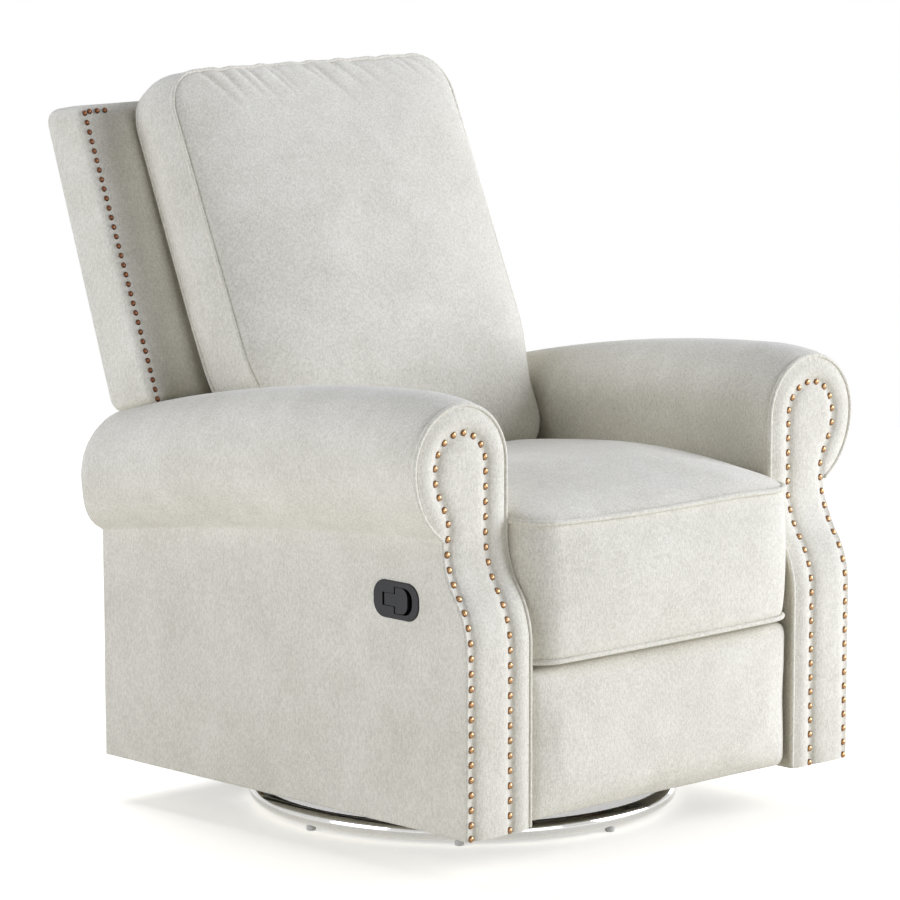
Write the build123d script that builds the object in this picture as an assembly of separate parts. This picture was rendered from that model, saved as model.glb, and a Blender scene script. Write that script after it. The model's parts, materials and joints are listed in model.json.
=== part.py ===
"""Swivel glider recliner with rolled arms, a winged back, a flip-out footrest and a ring base.

Row frame: origin on the floor under the middle of the chair, +Z up, the chair faces -Y,
X = 0 is its plane of symmetry.  All lengths are millimetres.
"""

import os
from math import atan2, cos, degrees, radians, sin, sqrt

from build123d import *

# ---------------------------------------------------------------- driving dimensions
# whole chair
ARM_INNER_X = 253.5          # inner face of each arm
ARM_OUTER_X = 363.0          # outer face of each arm below its roll
BODY_BOTTOM_Z = 63.0         # underside of the upholstered body
BODY_REAR_Y = 313.0          # rear face of the body
SWIVEL_Y = -28.0             # the swivel axis is vertical, at X = 0 and this Y

# arm roll, seen from the front: a round top that tucks in to a neck on the outside
ROLL_RADIUS = 81.0
ROLL_CENTRE_X = 334.5
ROLL_CENTRE_Z = 541.0
NECK_X = 364.5
NECK_Z = 450.0
ARM_REAR_Y = 311.0
ROLL_END_ROUND = 26.0
ROLL_CREST_Y = -300.0        # the roll is highest here, a little behind its front
ROLL_CREST_RISE = 11.2
ROLL_FALL = 92.3             # from the crest down to the rear end

# front of the arms, seen from the side: an S from the lower plane back to the upper plane
FRONT_LOWER_Y = -414.0
FRONT_UPPER_Y = -368.0
S_BOTTOM_Z = 305.0
S_TOP_Z = 450.0
PANEL_THICK = 12.0
WELT_RADIUS = 3.2
WELT_BEHIND = 4.0            # the welt runs this far behind the panel's face

# seat
SEAT_HALF_WIDTH = 249.5
SEAT_FRONT_Y = -416.0
SEAT_REAR_Y = 104.0
SEAT_DECK_Z = 346.0
SEAT_PIPING_Z = 462.0
SEAT_CROWN = 38.0
APRON_BOTTOM_Z = 276.0
APRON_DEPTH = 68.0
SEAT_CORNER = 24.0

# back
BACK_LEAN = 21.25            # degrees from the vertical, front plane of the winged back
BACK_REAR_LEAN = 18.8
BACK_HALF_WIDTH = 365.0
BACK_TOP_Z = 962.0
BACK_LOWER_HALF_WIDTH = 240.5
BACK_BOTTOM_Z = 362.0
BACK_FRONT_Y_AT_MID = 268.0  # front plane's Y at the height below
BACK_REAR_Y_AT_MID = 363.0
BACK_MID_Z = 744.0
PIVOT_BACK = (215.0, 340.0)  # Y, Z of the recline hinge
CUSHION_LEAN = 23.4
CUSHION_HALF_WIDTH = 262.0
CUSHION_TAPER = 16.0         # how much narrower each side is at the foot
CUSHION_FOOT = (149.0, 436.0)  # Y, Z of the cushion's rear lower edge
CUSHION_LENGTH = 578.0
CUSHION_BOXING = 96.0
CUSHION_CROWN = 32.0

# footrest
REST_HALF_WIDTH = 247.5
REST_BOTTOM_Z = 67.0
REST_TOP_Z = 268.0
REST_FRONT_Y = -400.0
REST_PAD = 26.0
REST_CROWN = 9.0
REST_BOARD = 12.0

# footrest linkage, closed: places are (Y, Z), angles are measured from -Y up towards +Z
PIVOT_A = (-225.0, 275.0)    # drive link on the seat plate
LENGTH_A = 165.0
ANGLE_A = -150.0
TAIL_A = 24.0                # past the joint with link C, where link D hangs
PIVOT_B = (-195.7, 269.2)
LENGTH_B = 169.5
ANGLE_B = -153.3
LENGTH_C = 258.0
ANGLE_C = -0.5
TAIL_C = 38.0
LENGTH_D = 246.9
ANGLE_D = -4.9
BRACKET_ARM = 45.0
BRACKET_ANGLE = -136.8
LINK_WIDTH = 18.0
STEEL = 4.0
LAYER = 5.0                  # one plate and the gap beside it
LAYER_C = 221.0              # inner face of each layer of plates, from the middle out
LAYER_A = LAYER_C + LAYER
LAYER_PLATE = LAYER_A + LAYER
LAYER_B = LAYER_PLATE + LAYER
RIVET_RADIUS = 4.0
RIVET_HEAD_RADIUS = 7.0
RUNNING = 0.05               # radial clearance of a pin in its hole

# ring base and swivel
RING_OUTER_RADIUS = 298.0
RING_TUBE_RADIUS = 12.5
RING_CENTRE_Z = 18.0
FOOT_COUNT = 8
FOOT_RADIUS = 6.5
HUB_RADIUS = 92.0
STUB_RADIUS = 14.0
CROSS_TOP_Z = 44.0
RACE_TOP_Z = 51.0
TURNTABLE_TOP_Z = 56.0

# glider: the chair hangs from four links on the turntable's two brackets
GLIDE_SPREAD = 95.0          # each link's distance in Y from the swivel axis
GLIDE_TOP_Z = 165.0
GLIDE_LENGTH = 80.0
GLIDE_BRACKET_X = 150.0      # inner face of the bracket plate
GLIDE_LINK_X = 160.0
GLIDE_RAIL_X = 170.0
GLIDE_STEEL = 5.0

# latch on the outside of the right arm
LATCH_Y = -281.0
LATCH_Z = 361.0
LATCH_LENGTH = 84.5
LATCH_HEIGHT = 50.0
LATCH_CORNER = 21.0
LATCH_PROUD = 4.0
LATCH_CUP = 13.0             # depth of the moulding inside the arm
WELL_FRONT = -31.5           # these four are Y from the latch's middle
PADDLE_FRONT = -22.0
PADDLE_REAR = 1.0
STEM_REAR = 21.0
STEM_SWING = 3.4             # room behind the stem for its end to swing
PADDLE_HEIGHT = 34.0
STEM_HEIGHT = 16.0
LEVER_THICK = 5.0
GAP = 0.8                    # beside the lever in its recess
SHOULDER_GAP = 1.8           # behind the paddle, whose shoulders swing past the plate

os.makedirs("parts", exist_ok=True)


# ---------------------------------------------------------------- helpers
def save(node, shape):
    """Write one node's solid or group of solids."""
    shape.label = node
    export_step(shape, f"parts/{node}.step")


def block(x_span, y_span, z_span):
    """A box between pairs of coordinates."""
    size = [b - a for a, b in (x_span, y_span, z_span)]
    return Pos(x_span[0], y_span[0], z_span[0]) * Box(*size, align=(Align.MIN,) * 3)


def rod(x_span, y, z, radius):
    """A round bar along X."""
    length = x_span[1] - x_span[0]
    bar = Cylinder(radius, length, align=(Align.CENTER, Align.CENTER, Align.MIN))
    return Pos(x_span[0], y, z) * Rot(0, 90, 0) * bar


def heading(angle):
    """Unit (Y, Z) step at an angle measured from -Y up towards +Z."""
    return -cos(radians(angle)), sin(radians(angle))


def reach(start, length, angle):
    """The (Y, Z) place a length away from start along a heading."""
    step = heading(angle)
    return start[0] + length * step[0], start[1] + length * step[1]


def side_point(y, z):
    return (0.0, y, z)


def side_plate(points, x, thickness):
    """A flat plate in the YZ plane with its inner face at x, from corner points (Y, Z)."""
    outline = Polyline(*[side_point(*p) for p in points], close=True)
    return Pos(x, 0, 0) * extrude(make_face(outline), thickness, dir=(1, 0, 0))


def bar_link(start, end, x, width=LINK_WIDTH):
    """A flat link with rounded ends, along the line from start to end, in the layer at x."""
    dy, dz = end[0] - start[0], end[1] - start[1]
    length = sqrt(dy * dy + dz * dz)
    turn = degrees(atan2(dz, dy))
    face = Plane.YZ * Rot(0, 0, turn) * (Pos(length / 2, 0) * SlotCenterToCenter(length, width))
    return Pos(x, *start) * extrude(face, STEEL)


def drill(shape, place, radius, x, thickness=STEEL):
    """Cut a hole along X through the plate whose inner face is at x."""
    return shape - rod((x - 1, x + thickness + 1), place[0], place[1], radius)


def mirrored(shape):
    return mirror(shape, about=Plane.YZ)


def save_pair(name, right_shape):
    """Write the +X side's piece and its mirror image; the sitter's left is +X."""
    save(f"{name}_left", right_shape)
    save(f"{name}_right", mirrored(right_shape))


# ---------------------------------------------------------------- ring base
def ring_base():
    major = RING_OUTER_RADIUS - RING_TUBE_RADIUS
    return Pos(0, SWIVEL_Y, RING_CENTRE_Z) * Torus(major, RING_TUBE_RADIUS)


def ring_feet():
    """Round glides under the ring, seated in its underside."""
    major = RING_OUTER_RADIUS - RING_TUBE_RADIUS
    top = RING_CENTRE_Z - RING_TUBE_RADIUS + 2.0
    feet = []
    for index in range(FOOT_COUNT):
        turn = Rot(0, 0, 360 / FOOT_COUNT * index)
        foot = Cylinder(FOOT_RADIUS, top, align=(Align.CENTER, Align.CENTER, Align.MIN))
        foot = chamfer(foot.edges().sort_by(Axis.Z)[0], 0.8)
        feet.append(Pos(0, SWIVEL_Y, 0) * turn * Pos(major, 0, 0) * foot)
    return Compound([foot - ring_base() for foot in feet])


def base_cross():
    """Four flat arms that rise from the ring to a hub plate."""
    major = RING_OUTER_RADIUS - RING_TUBE_RADIUS
    arm_width, arm_thick = 38.0, 8.0
    low = RING_CENTRE_Z - 4.0
    high = CROSS_TOP_Z - arm_thick
    top_run = [(HUB_RADIUS - 30, high), (HUB_RADIUS + 20, high), (major - 60, low)]
    outline = top_run + [(major, low), (major, low + arm_thick)]
    outline += [(r, z + arm_thick) for r, z in reversed(top_run)]
    face = make_face(Polyline(*[(r, 0, z) for r, z in outline], close=True))
    arm = extrude(face, arm_width / 2, both=True, dir=(0, 1, 0))
    hub = Cylinder(HUB_RADIUS, arm_thick, align=(Align.CENTER, Align.CENTER, Align.MIN))
    cross = Pos(0, 0, high) * hub
    for quarter in range(4):
        cross += Rot(0, 0, 45 + 90 * quarter) * arm
    stub = Cylinder(STUB_RADIUS, TURNTABLE_TOP_Z - high, align=(Align.CENTER, Align.CENTER, Align.MIN))
    cross += Pos(0, 0, high) * stub
    return Pos(0, SWIVEL_Y, 0) * cross - ring_base()


def upright_disc(radius, z_span):
    """A disc about the swivel axis."""
    height = z_span[1] - z_span[0]
    disc = Cylinder(radius, height, align=(Align.CENTER, Align.CENTER, Align.MIN))
    return Pos(0, SWIVEL_Y, z_span[0]) * disc


def swivel_race():
    """Lower race of the swivel bearing, on the hub plate."""
    z_span = (CROSS_TOP_Z, RACE_TOP_Z - 0.1)
    return upright_disc(HUB_RADIUS - 4, z_span) - upright_disc(HUB_RADIUS - 24, z_span)


# ---------------------------------------------------------------- turntable and glider
GLIDE_TOP_PLACES = [(SWIVEL_Y - GLIDE_SPREAD, GLIDE_TOP_Z), (SWIVEL_Y + GLIDE_SPREAD, GLIDE_TOP_Z)]
GLIDE_LOW_PLACES = [(y, z - GLIDE_LENGTH) for y, z in GLIDE_TOP_PLACES]


def turntable():
    """Round plate on the swivel bearing with two cross bars that carry the brackets."""
    table = upright_disc(HUB_RADIUS, (RACE_TOP_Z, TURNTABLE_TOP_Z))
    bar_x = GLIDE_BRACKET_X
    for y in (SWIVEL_Y - 70, SWIVEL_Y + 40):
        table += block((-bar_x, bar_x), (y, y + 30), (RACE_TOP_Z, TURNTABLE_TOP_Z + 14))
    return table - upright_disc(STUB_RADIUS + RUNNING, (RACE_TOP_Z - 1, TURNTABLE_TOP_Z + 1))


def glide_bracket():
    """Upright plate with two ears for the links' upper pivots."""
    ear = 17.0
    foot_half = 78.0
    low = RACE_TOP_Z
    top = GLIDE_TOP_Z + ear
    spread = GLIDE_SPREAD + ear
    waist = GLIDE_TOP_Z - 44
    points = [
        (SWIVEL_Y - foot_half, low), (SWIVEL_Y + foot_half, low),
        (SWIVEL_Y + spread, waist + 26), (SWIVEL_Y + spread, top),
        (SWIVEL_Y + spread - 2 * ear, top), (SWIVEL_Y + foot_half - 30, waist),
        (SWIVEL_Y - foot_half + 30, waist), (SWIVEL_Y - spread + 2 * ear, top),
        (SWIVEL_Y - spread, top), (SWIVEL_Y - spread, waist + 26),
    ]
    plate = side_plate(points, GLIDE_BRACKET_X, GLIDE_STEEL)
    upright = plate.edges().filter_by(Axis.X)
    return fillet(upright, 5.0)


def glide_pin(place, x_span, head_side):
    """A shouldered pivot pin along X, its head on the given end."""
    shank = rod(x_span, *place, 5.0)
    if head_side > 0:
        return shank + rod((x_span[1], x_span[1] + 2.5), *place, 9.0)
    return shank + rod((x_span[0] - 2.5, x_span[0]), *place, 9.0)


def glide_link(index):
    """Hanging link with an eye at each end, reinforced round its pivots."""
    top, low = GLIDE_TOP_PLACES[index], GLIDE_LOW_PLACES[index]
    thick = GLIDE_STEEL
    face = Plane.YZ * Rot(0, 0, 90) * (Pos(GLIDE_LENGTH / 2, 0) * SlotCenterToCenter(GLIDE_LENGTH, 24))
    link = Pos(GLIDE_LINK_X, *low) * extrude(face, thick)
    span = (GLIDE_LINK_X - 3.5, GLIDE_LINK_X)
    link += rod(span, *top, 11.0)
    link += rod((GLIDE_LINK_X + thick, GLIDE_LINK_X + thick + 3.5), *low, 11.0)
    bore = 5.0 + RUNNING
    through = (GLIDE_LINK_X - 10, GLIDE_LINK_X + 20)
    return link - rod(through, *top, bore) - rod(through, *low, bore)


def glide_upper_pins():
    """Pins riveted into both ears of one bracket."""
    span = (GLIDE_BRACKET_X, GLIDE_LINK_X + GLIDE_STEEL + 0.6)
    return [glide_pin(place, span, 1) for place in GLIDE_TOP_PLACES]


def glide_lower_pins():
    span = (GLIDE_LINK_X - 0.6, GLIDE_RAIL_X + 26)
    return [glide_pin(place, span, -1) for place in GLIDE_LOW_PLACES]


def glide_rail():
    """Rail of the chair's bottom frame, hung on the links, with two outriggers to the arm."""
    low = GLIDE_TOP_Z - GLIDE_LENGTH - 15
    high = low + 32
    rail = block((GLIDE_RAIL_X, GLIDE_RAIL_X + 26), (-200, 240), (low, high))
    for y in (-50.0, 150.0):
        rail += block((GLIDE_RAIL_X + 26, ARM_INNER_X), (y, y + 34), (low, low + 26))
    for pin in glide_lower_pins():
        rail -= pin
    return rail


def cross_rails():
    """Front and rear cross members between the two rails."""
    low = GLIDE_TOP_Z - GLIDE_LENGTH - 15
    spans = [(-200, -176), (206, 240)]
    return [block((-GLIDE_RAIL_X, GLIDE_RAIL_X), span, (low, low + 28)) for span in spans]


# ---------------------------------------------------------------- arms
def s_edges(shift, low_z, high_z):
    """The arm front's line in the YZ plane, from low_z up to high_z, moved back by shift."""
    lower, upper = FRONT_LOWER_Y + shift, FRONT_UPPER_Y + shift
    mid = ((lower + upper) / 2, (S_BOTTOM_Z + S_TOP_Z) / 2)
    first = Line(side_point(lower, low_z), side_point(lower, S_BOTTOM_Z))
    bend = TangentArc(first @ 1, side_point(*mid), tangent=(0, 0, 1))
    back = TangentArc(bend @ 1, side_point(upper, S_TOP_Z), tangent=bend % 1)
    last = Line(back @ 1, side_point(upper, high_z))
    return [first, bend, back, last]


def s_solid(x_span, shift, rear_y, low_z, high_z):
    """Everything behind the arm front's S, between two X planes."""
    edges = s_edges(shift, low_z, high_z)
    top = Line(edges[-1] @ 1, side_point(rear_y, high_z))
    rear = Line(top @ 1, side_point(rear_y, low_z))
    bottom = Line(rear @ 1, edges[0] @ 0)
    face = make_face(edges + [top, rear, bottom])
    return Pos(x_span[0], 0, 0) * extrude(face, x_span[1] - x_span[0], dir=(1, 0, 0))


def roll_outline(y, centre_z=ROLL_CENTRE_Z, low_z=NECK_Z, inset=0.0, foot_z=None):
    """Edges of the arm's outline in the plane Y = y, from its foot up and round.

    centre_z and low_z are the heights of the roll's axis and of its neck, inset shrinks
    the roll, and foot_z is where the two sides end.
    """
    radius = ROLL_RADIUS - inset
    neck_x = NECK_X - 0.6 * inset
    neck_z = low_z + 0.3 * inset
    left = (ROLL_CENTRE_X - radius, y, centre_z)
    top = (ROLL_CENTRE_X, y, centre_z + radius)
    right = (ROLL_CENTRE_X + radius, y, centre_z)
    neck = (neck_x, y, neck_z)
    foot = neck_z - 22 if foot_z is None else foot_z
    inner = Line((left[0], y, foot), left)
    over = ThreePointArc(left, top, right)
    tuck_arc = TangentArc(right, neck, tangent=(0, 0, -1))
    outer_x = ARM_OUTER_X - inset
    side = Line(neck, (outer_x, y, foot))
    base = Line((outer_x, y, foot), (left[0], y, foot))
    return [inner, over, tuck_arc, side, base]


def roll_drop(y):
    """How far the roll's axis lies below its front height: it rises a little, then falls."""
    if y <= ROLL_CREST_Y:
        share = (y - FRONT_UPPER_Y) / (ROLL_CREST_Y - FRONT_UPPER_Y)
        return -ROLL_CREST_RISE * share * (2 - share)
    run = (y - ROLL_CREST_Y) / (ARM_REAR_Y - ROLL_CREST_Y)
    return -ROLL_CREST_RISE + ROLL_FALL * (0.18 * run + 0.82 * run * run)


def neck_height(y):
    """Height of the line where the roll tucks in to the outer side."""
    run = y - FRONT_UPPER_Y
    return NECK_Z - 0.05 * run - 0.00008 * run * run


def roll_section(y, inset=0.0):
    """The closed outline of the roll at one place along the arm."""
    return make_face(roll_outline(y, ROLL_CENTRE_Z - roll_drop(y), neck_height(y), inset))


def arm_roll():
    stations = [FRONT_UPPER_Y + PANEL_THICK, ROLL_CREST_Y, -170.0, -10.0, 150.0, ARM_REAR_Y - ROLL_END_ROUND]
    faces = [roll_section(y) for y in stations]
    roll = loft(faces)
    round_end = [(0.45, 0.12), (0.8, 0.4), (1.0, 1.0)]
    end_faces = [faces[-1]]
    for along, inward in round_end:
        y = ARM_REAR_Y - ROLL_END_ROUND * (1 - along)
        end_faces.append(roll_section(y, ROLL_END_ROUND * inward))
    return roll + loft(end_faces, ruled=True)


def arm_body():
    """Upholstered arm: roll, outer side and inner side, hollow and open underneath."""
    top = neck_height(ARM_REAR_Y)
    side = s_solid((ARM_INNER_X, ARM_OUTER_X), PANEL_THICK, BODY_REAR_Y, BODY_BOTTOM_Z, top)
    upright = side.edges().filter_by(Axis.Z).group_by(Axis.Y)[-1]
    side = fillet(upright, 5.0)
    wedge = arm_wedge(top)
    body = side + wedge + arm_roll()
    pocket = block(
        (ARM_INNER_X + 14, ARM_OUTER_X - 14),
        (FRONT_UPPER_Y + 34, BODY_REAR_Y - 16),
        (BODY_BOTTOM_Z - 1, top - 24),
    )
    return body - pocket


def arm_wedge(top):
    """The stretch of both sides that follows the roll's slope, between the side and the roll."""
    front = FRONT_UPPER_Y + PANEL_THICK
    points = [(front, top)]
    points += [(y, neck_height(y) - 4) for y in (front, -262.0, -120.0, 20.0, 150.0)]
    points += [(BODY_REAR_Y - 14, top)]
    return side_plate(points, ARM_INNER_X, ARM_OUTER_X - ARM_INNER_X)


def arm_front():
    """Padded front panel of one arm, bent to the S and cut to the rolled outline."""
    sheet = s_solid((ARM_INNER_X - 5, ROLL_CENTRE_X + 90), 0, 0, BODY_BOTTOM_Z, 640)
    sheet -= s_solid((ARM_INNER_X - 6, ROLL_CENTRE_X + 91), PANEL_THICK, 1, BODY_BOTTOM_Z - 1, 641)
    face = make_face(roll_outline(FRONT_LOWER_Y - 10, foot_z=BODY_BOTTOM_Z))
    return sheet & extrude(face, 120, dir=(0, 1, 0))


def arm_welt():
    """Welt cord round the edge of the front panel, from the neck to the foot."""
    y = FRONT_UPPER_Y + WELT_BEHIND
    neck = (NECK_X, y, NECK_Z)
    right = (ROLL_CENTRE_X + ROLL_RADIUS, y, ROLL_CENTRE_Z)
    top = (ROLL_CENTRE_X, y, ROLL_CENTRE_Z + ROLL_RADIUS)
    left = (ARM_INNER_X, y, ROLL_CENTRE_Z)
    tuck = TangentArc(right, neck, tangent=(0, 0, -1))
    over = ThreePointArc(right, top, left)
    down = [Pos(ARM_INNER_X, 0, 0) * e for e in s_edges(WELT_BEHIND, BODY_BOTTOM_Z, ROLL_CENTRE_Z)]
    path = Wire([tuck, over] + down)
    start = path @ 0
    profile = Plane(origin=start, z_dir=path % 0) * Circle(WELT_RADIUS)
    return sweep(profile, path=path)


def arm_frame():
    """Timber frame inside one arm: two posts and two rails."""
    x_span = (ARM_INNER_X + 14, ARM_INNER_X + 34)
    front, rear = FRONT_UPPER_Y + 34, BODY_REAR_Y - 16
    top = neck_height(ARM_REAR_Y) - 24
    board = block(x_span, (front, rear), (BODY_BOTTOM_Z, top))
    window = block((x_span[0] - 1, x_span[1] + 1), (front + 60, rear - 60), (BODY_BOTTOM_Z + 60, top - 60))
    return board - window


# ---------------------------------------------------------------- cushions
def rounded_plan(half_width, low, high, corner, inset, z, taper=0.0):
    """Rounded plan at height z; inset moves every side in, taper narrows the low end."""
    near, far = half_width - inset - taper, half_width - inset
    low, high = low + inset, high - inset
    face = make_face(Polyline((-near, low), (near, low), (far, high), (-far, high), close=True))
    return Pos(0, 0, z) * fillet(face.vertices(), max(corner - 0.35 * inset, 4.0))


def cushion(half_width, low, high, boxing, crown, corner, draw_in=4.0, taper=0.0):
    """Crowned cushion lying in the XY plane: drawn-in boxing below, domed cover on top."""
    span = min(half_width, (high - low) / 2)
    box_steps = [(0.0, 0.0), (0.5, draw_in), (1.0, 0.0)]
    size = half_width, low, high, corner
    box = loft([rounded_plan(*size, inset, boxing * up, taper) for up, inset in box_steps])
    dome_steps = [(0.0, 0.0), (0.38, 0.055), (0.68, 0.16), (0.88, 0.32), (1.0, 0.6)]
    dome_plans = [rounded_plan(*size, span * share, boxing + crown * up, taper) for up, share in dome_steps]
    return box + loft(dome_plans, ruled=True)


def seat_cushion():
    """Seat cushion with a tall front border that drops in front of the seat rail."""
    top = Pos(0, 0, SEAT_DECK_Z) * cushion(
        SEAT_HALF_WIDTH, SEAT_FRONT_Y, SEAT_REAR_Y, SEAT_PIPING_Z - SEAT_DECK_Z, SEAT_CROWN, SEAT_CORNER, 3.0
    )
    apron = block(
        (-SEAT_HALF_WIDTH, SEAT_HALF_WIDTH), (SEAT_FRONT_Y, SEAT_FRONT_Y + APRON_DEPTH), (APRON_BOTTOM_Z, SEAT_DECK_Z)
    )
    front = apron.edges().filter_by(Axis.Z).group_by(Axis.Y)[0]
    apron = fillet(front, SEAT_CORNER)
    foot = apron.edges().group_by(Axis.Z)[0].group_by(Axis.Y)[0]
    return top + fillet(foot, 12.0) - under_back_cushion()


def under_back_cushion():
    """The space above the sloping underside of the back cushion, a little below it."""
    y, z = CUSHION_FOOT
    gap = 1.5
    slope = sin(radians(CUSHION_LEAN)) / cos(radians(CUSHION_LEAN))
    points = [(run, z - gap - (run - y) * slope) for run in (y - 220, y + 60)]
    return side_plate(points + [(y + 60, 800), (y - 220, 800)], -400.0, 800.0)


def lean_back(shape, y, z, lean):
    """Stand a flat-lying shape up: its +Z side faces -Y, and its +Y end leans back."""
    return Pos(0, y, z) * Rot(90 - lean, 0, 0) * shape


def back_cushion():
    """Loose-look back cushion between the wings, standing on the seat."""
    body = cushion(CUSHION_HALF_WIDTH, 0.0, CUSHION_LENGTH, CUSHION_BOXING, CUSHION_CROWN, 40.0, 5.0, CUSHION_TAPER)
    body = lean_back(body, *CUSHION_FOOT, CUSHION_LEAN)
    behind = [(front_plane_y(z), z) for z in (300.0, 1100.0)] + [(700.0, 1100.0), (700.0, 300.0)]
    return body - side_plate(behind, -400.0, 800.0)


def footrest_pad():
    """Crowned pad on the face of the footrest."""
    half = (REST_TOP_Z - REST_BOTTOM_Z) / 2
    pad = cushion(REST_HALF_WIDTH, -half, half, REST_PAD, REST_CROWN, 14.0, 0.6)
    return lean_back(pad, REST_FRONT_Y + REST_PAD, REST_BOTTOM_Z + half, 0.0)


def footrest_board():
    y = REST_FRONT_Y + REST_PAD
    board = block((-236, 236), (y, y + REST_BOARD), (REST_BOTTOM_Z + 10, REST_TOP_Z - 10))
    return fillet(board.edges().filter_by(Axis.Y), 12.0)


# ---------------------------------------------------------------- back
def front_plane_y(z):
    """Y of the winged back's front plane at a height."""
    slope = sin(radians(BACK_LEAN)) / cos(radians(BACK_LEAN))
    return BACK_FRONT_Y_AT_MID + (z - BACK_MID_Z) * slope


def rear_plane_y(z):
    slope = sin(radians(BACK_REAR_LEAN)) / cos(radians(BACK_REAR_LEAN))
    return BACK_REAR_Y_AT_MID + (z - BACK_MID_Z) * slope


def back_shell():
    """Upholstered T-shaped back: wings above the arms, a narrow part between them."""
    top_front, top_rear = BACK_TOP_Z, BACK_TOP_Z - 14
    wing_front_z, wing_mid, wing_rear_z = 570.0, (263.0, 555.6), 544.4
    wing = side_plate(
        [
            (front_plane_y(wing_front_z), wing_front_z), (front_plane_y(top_front), top_front),
            (rear_plane_y(top_rear), top_rear), (rear_plane_y(wing_rear_z), wing_rear_z), wing_mid,
        ],
        -BACK_HALF_WIDTH, 2 * BACK_HALF_WIDTH,
    )
    corners = wing.edges().filter_by(Axis.X).sort_by(Axis.Z)
    wing = fillet(corners[-1], 12.0)
    wing = fillet(wing.edges().filter_by(Axis.X).group_by(Axis.Y)[-1], 26.0)
    ends = wing.faces().filter_by(Axis.X).edges()
    wing = fillet(ends, 9.0)
    lower = side_plate(
        [
            (front_plane_y(BACK_BOTTOM_Z), BACK_BOTTOM_Z), (front_plane_y(640), 640),
            (rear_plane_y(640), 640), (rear_plane_y(BACK_BOTTOM_Z), BACK_BOTTOM_Z),
        ],
        -BACK_LOWER_HALF_WIDTH, 2 * BACK_LOWER_HALF_WIDTH,
    )
    shell = wing + lower
    return shell - back_cavity()


def back_cavity():
    """The hollow inside the back that its timber frame fills at the edges."""
    wall = 16.0
    low, high = BACK_BOTTOM_Z - 1, BACK_TOP_Z - 44
    narrow = BACK_LOWER_HALF_WIDTH - wall
    points = [
        (front_plane_y(low) + wall, low), (front_plane_y(high) + wall, high),
        (rear_plane_y(high) - wall, high), (rear_plane_y(low) - wall, low),
    ]
    return side_plate(points, -narrow, 2 * narrow)


def back_frame():
    """Timber frame in the hollow of the back: two stiles and three rails."""
    solid = back_cavity() & block((-400, 400), (0, 500), (BACK_BOTTOM_Z, BACK_TOP_Z))
    stile = 46.0
    narrow = BACK_LOWER_HALF_WIDTH - 16.0 - stile
    for low, high in ((BACK_BOTTOM_Z + 60, 600), (650, BACK_TOP_Z - 100)):
        window = block((-narrow, narrow), (0, 500), (low, high))
        solid -= window
    core = side_plate(
        [
            (front_plane_y(300) + 42, 300), (front_plane_y(1000) + 42, 1000),
            (rear_plane_y(1000) + 60, 1000), (rear_plane_y(300) + 60, 300),
        ],
        -400, 800,
    )
    return solid - core


def back_bracket():
    """Steel plate on the side of the back that swings on the recline pin."""
    y, z = PIVOT_BACK
    x = BACK_LOWER_HALF_WIDTH + 1.0
    points = [
        (y - 20, z - 14), (y + 14, z - 20), (y + 20, z + 10),
        (rear_plane_y(470) - 24, 470), (front_plane_y(470) + 24, 470), (y - 40, z + 40),
    ]
    plate = fillet(side_plate(points, x, STEEL).edges().filter_by(Axis.X), 8.0)
    return drill(plate, PIVOT_BACK, 6.0 + RUNNING, x)


# ---------------------------------------------------------------- seat mechanism
JOINT_E = reach(PIVOT_A, LENGTH_A, ANGLE_A)
JOINT_G = reach(PIVOT_A, LENGTH_A + TAIL_A, ANGLE_A)
JOINT_Q = reach(JOINT_E, LENGTH_C, ANGLE_C)
JOINT_F_ON_C = reach(JOINT_E, -TAIL_C, ANGLE_C)
END_B = reach(PIVOT_B, LENGTH_B, ANGLE_B)
END_D = reach(JOINT_G, LENGTH_D, ANGLE_D)
JOINT_H = reach(JOINT_Q, BRACKET_ARM, BRACKET_ANGLE)
PIN_HOLE = RIVET_RADIUS + RUNNING


def seat_plate():
    """Steel plate that carries the footrest's pivots under one side of the seat."""
    points = [
        (-262, 258), (-168, 252), (-120, 300), (60, 300), (60, 338), (-300, 338), (-300, 300),
    ]
    plate = fillet(side_plate(points, LAYER_PLATE, STEEL).edges().filter_by(Axis.X), 9.0)
    plate = drill(plate, PIVOT_A, PIN_HOLE, LAYER_PLATE)
    return drill(plate, PIVOT_B, PIN_HOLE, LAYER_PLATE)


def link_a():
    """Drive link: turns on the seat plate, carries links C and D and the torque tube's end."""
    link = bar_link(PIVOT_A, JOINT_G, LAYER_A)
    for place in (JOINT_E, JOINT_G):
        link = drill(link, place, PIN_HOLE, LAYER_A)
    pin = rod((LAYER_A + STEEL, LAYER_PLATE + STEEL), *PIVOT_A, RIVET_RADIUS)
    head = rod((LAYER_PLATE + STEEL + 0.2, LAYER_PLATE + STEEL + 0.9), *PIVOT_A, RIVET_HEAD_RADIUS)
    tip = rod((LAYER_PLATE + STEEL, LAYER_PLATE + STEEL + 0.9), *PIVOT_A, RIVET_RADIUS)
    return link + pin + tip + head


def link_b():
    link = bar_link(PIVOT_B, END_B, LAYER_B)
    link = drill(link, END_B, PIN_HOLE, LAYER_B)
    pin = rod((LAYER_PLATE, LAYER_B), *PIVOT_B, RIVET_RADIUS)
    head = rod((LAYER_PLATE - 0.9, LAYER_PLATE - 0.2), *PIVOT_B, RIVET_HEAD_RADIUS)
    tip = rod((LAYER_PLATE - 0.9, LAYER_PLATE), *PIVOT_B, RIVET_RADIUS)
    return link + pin + tip + head


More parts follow.
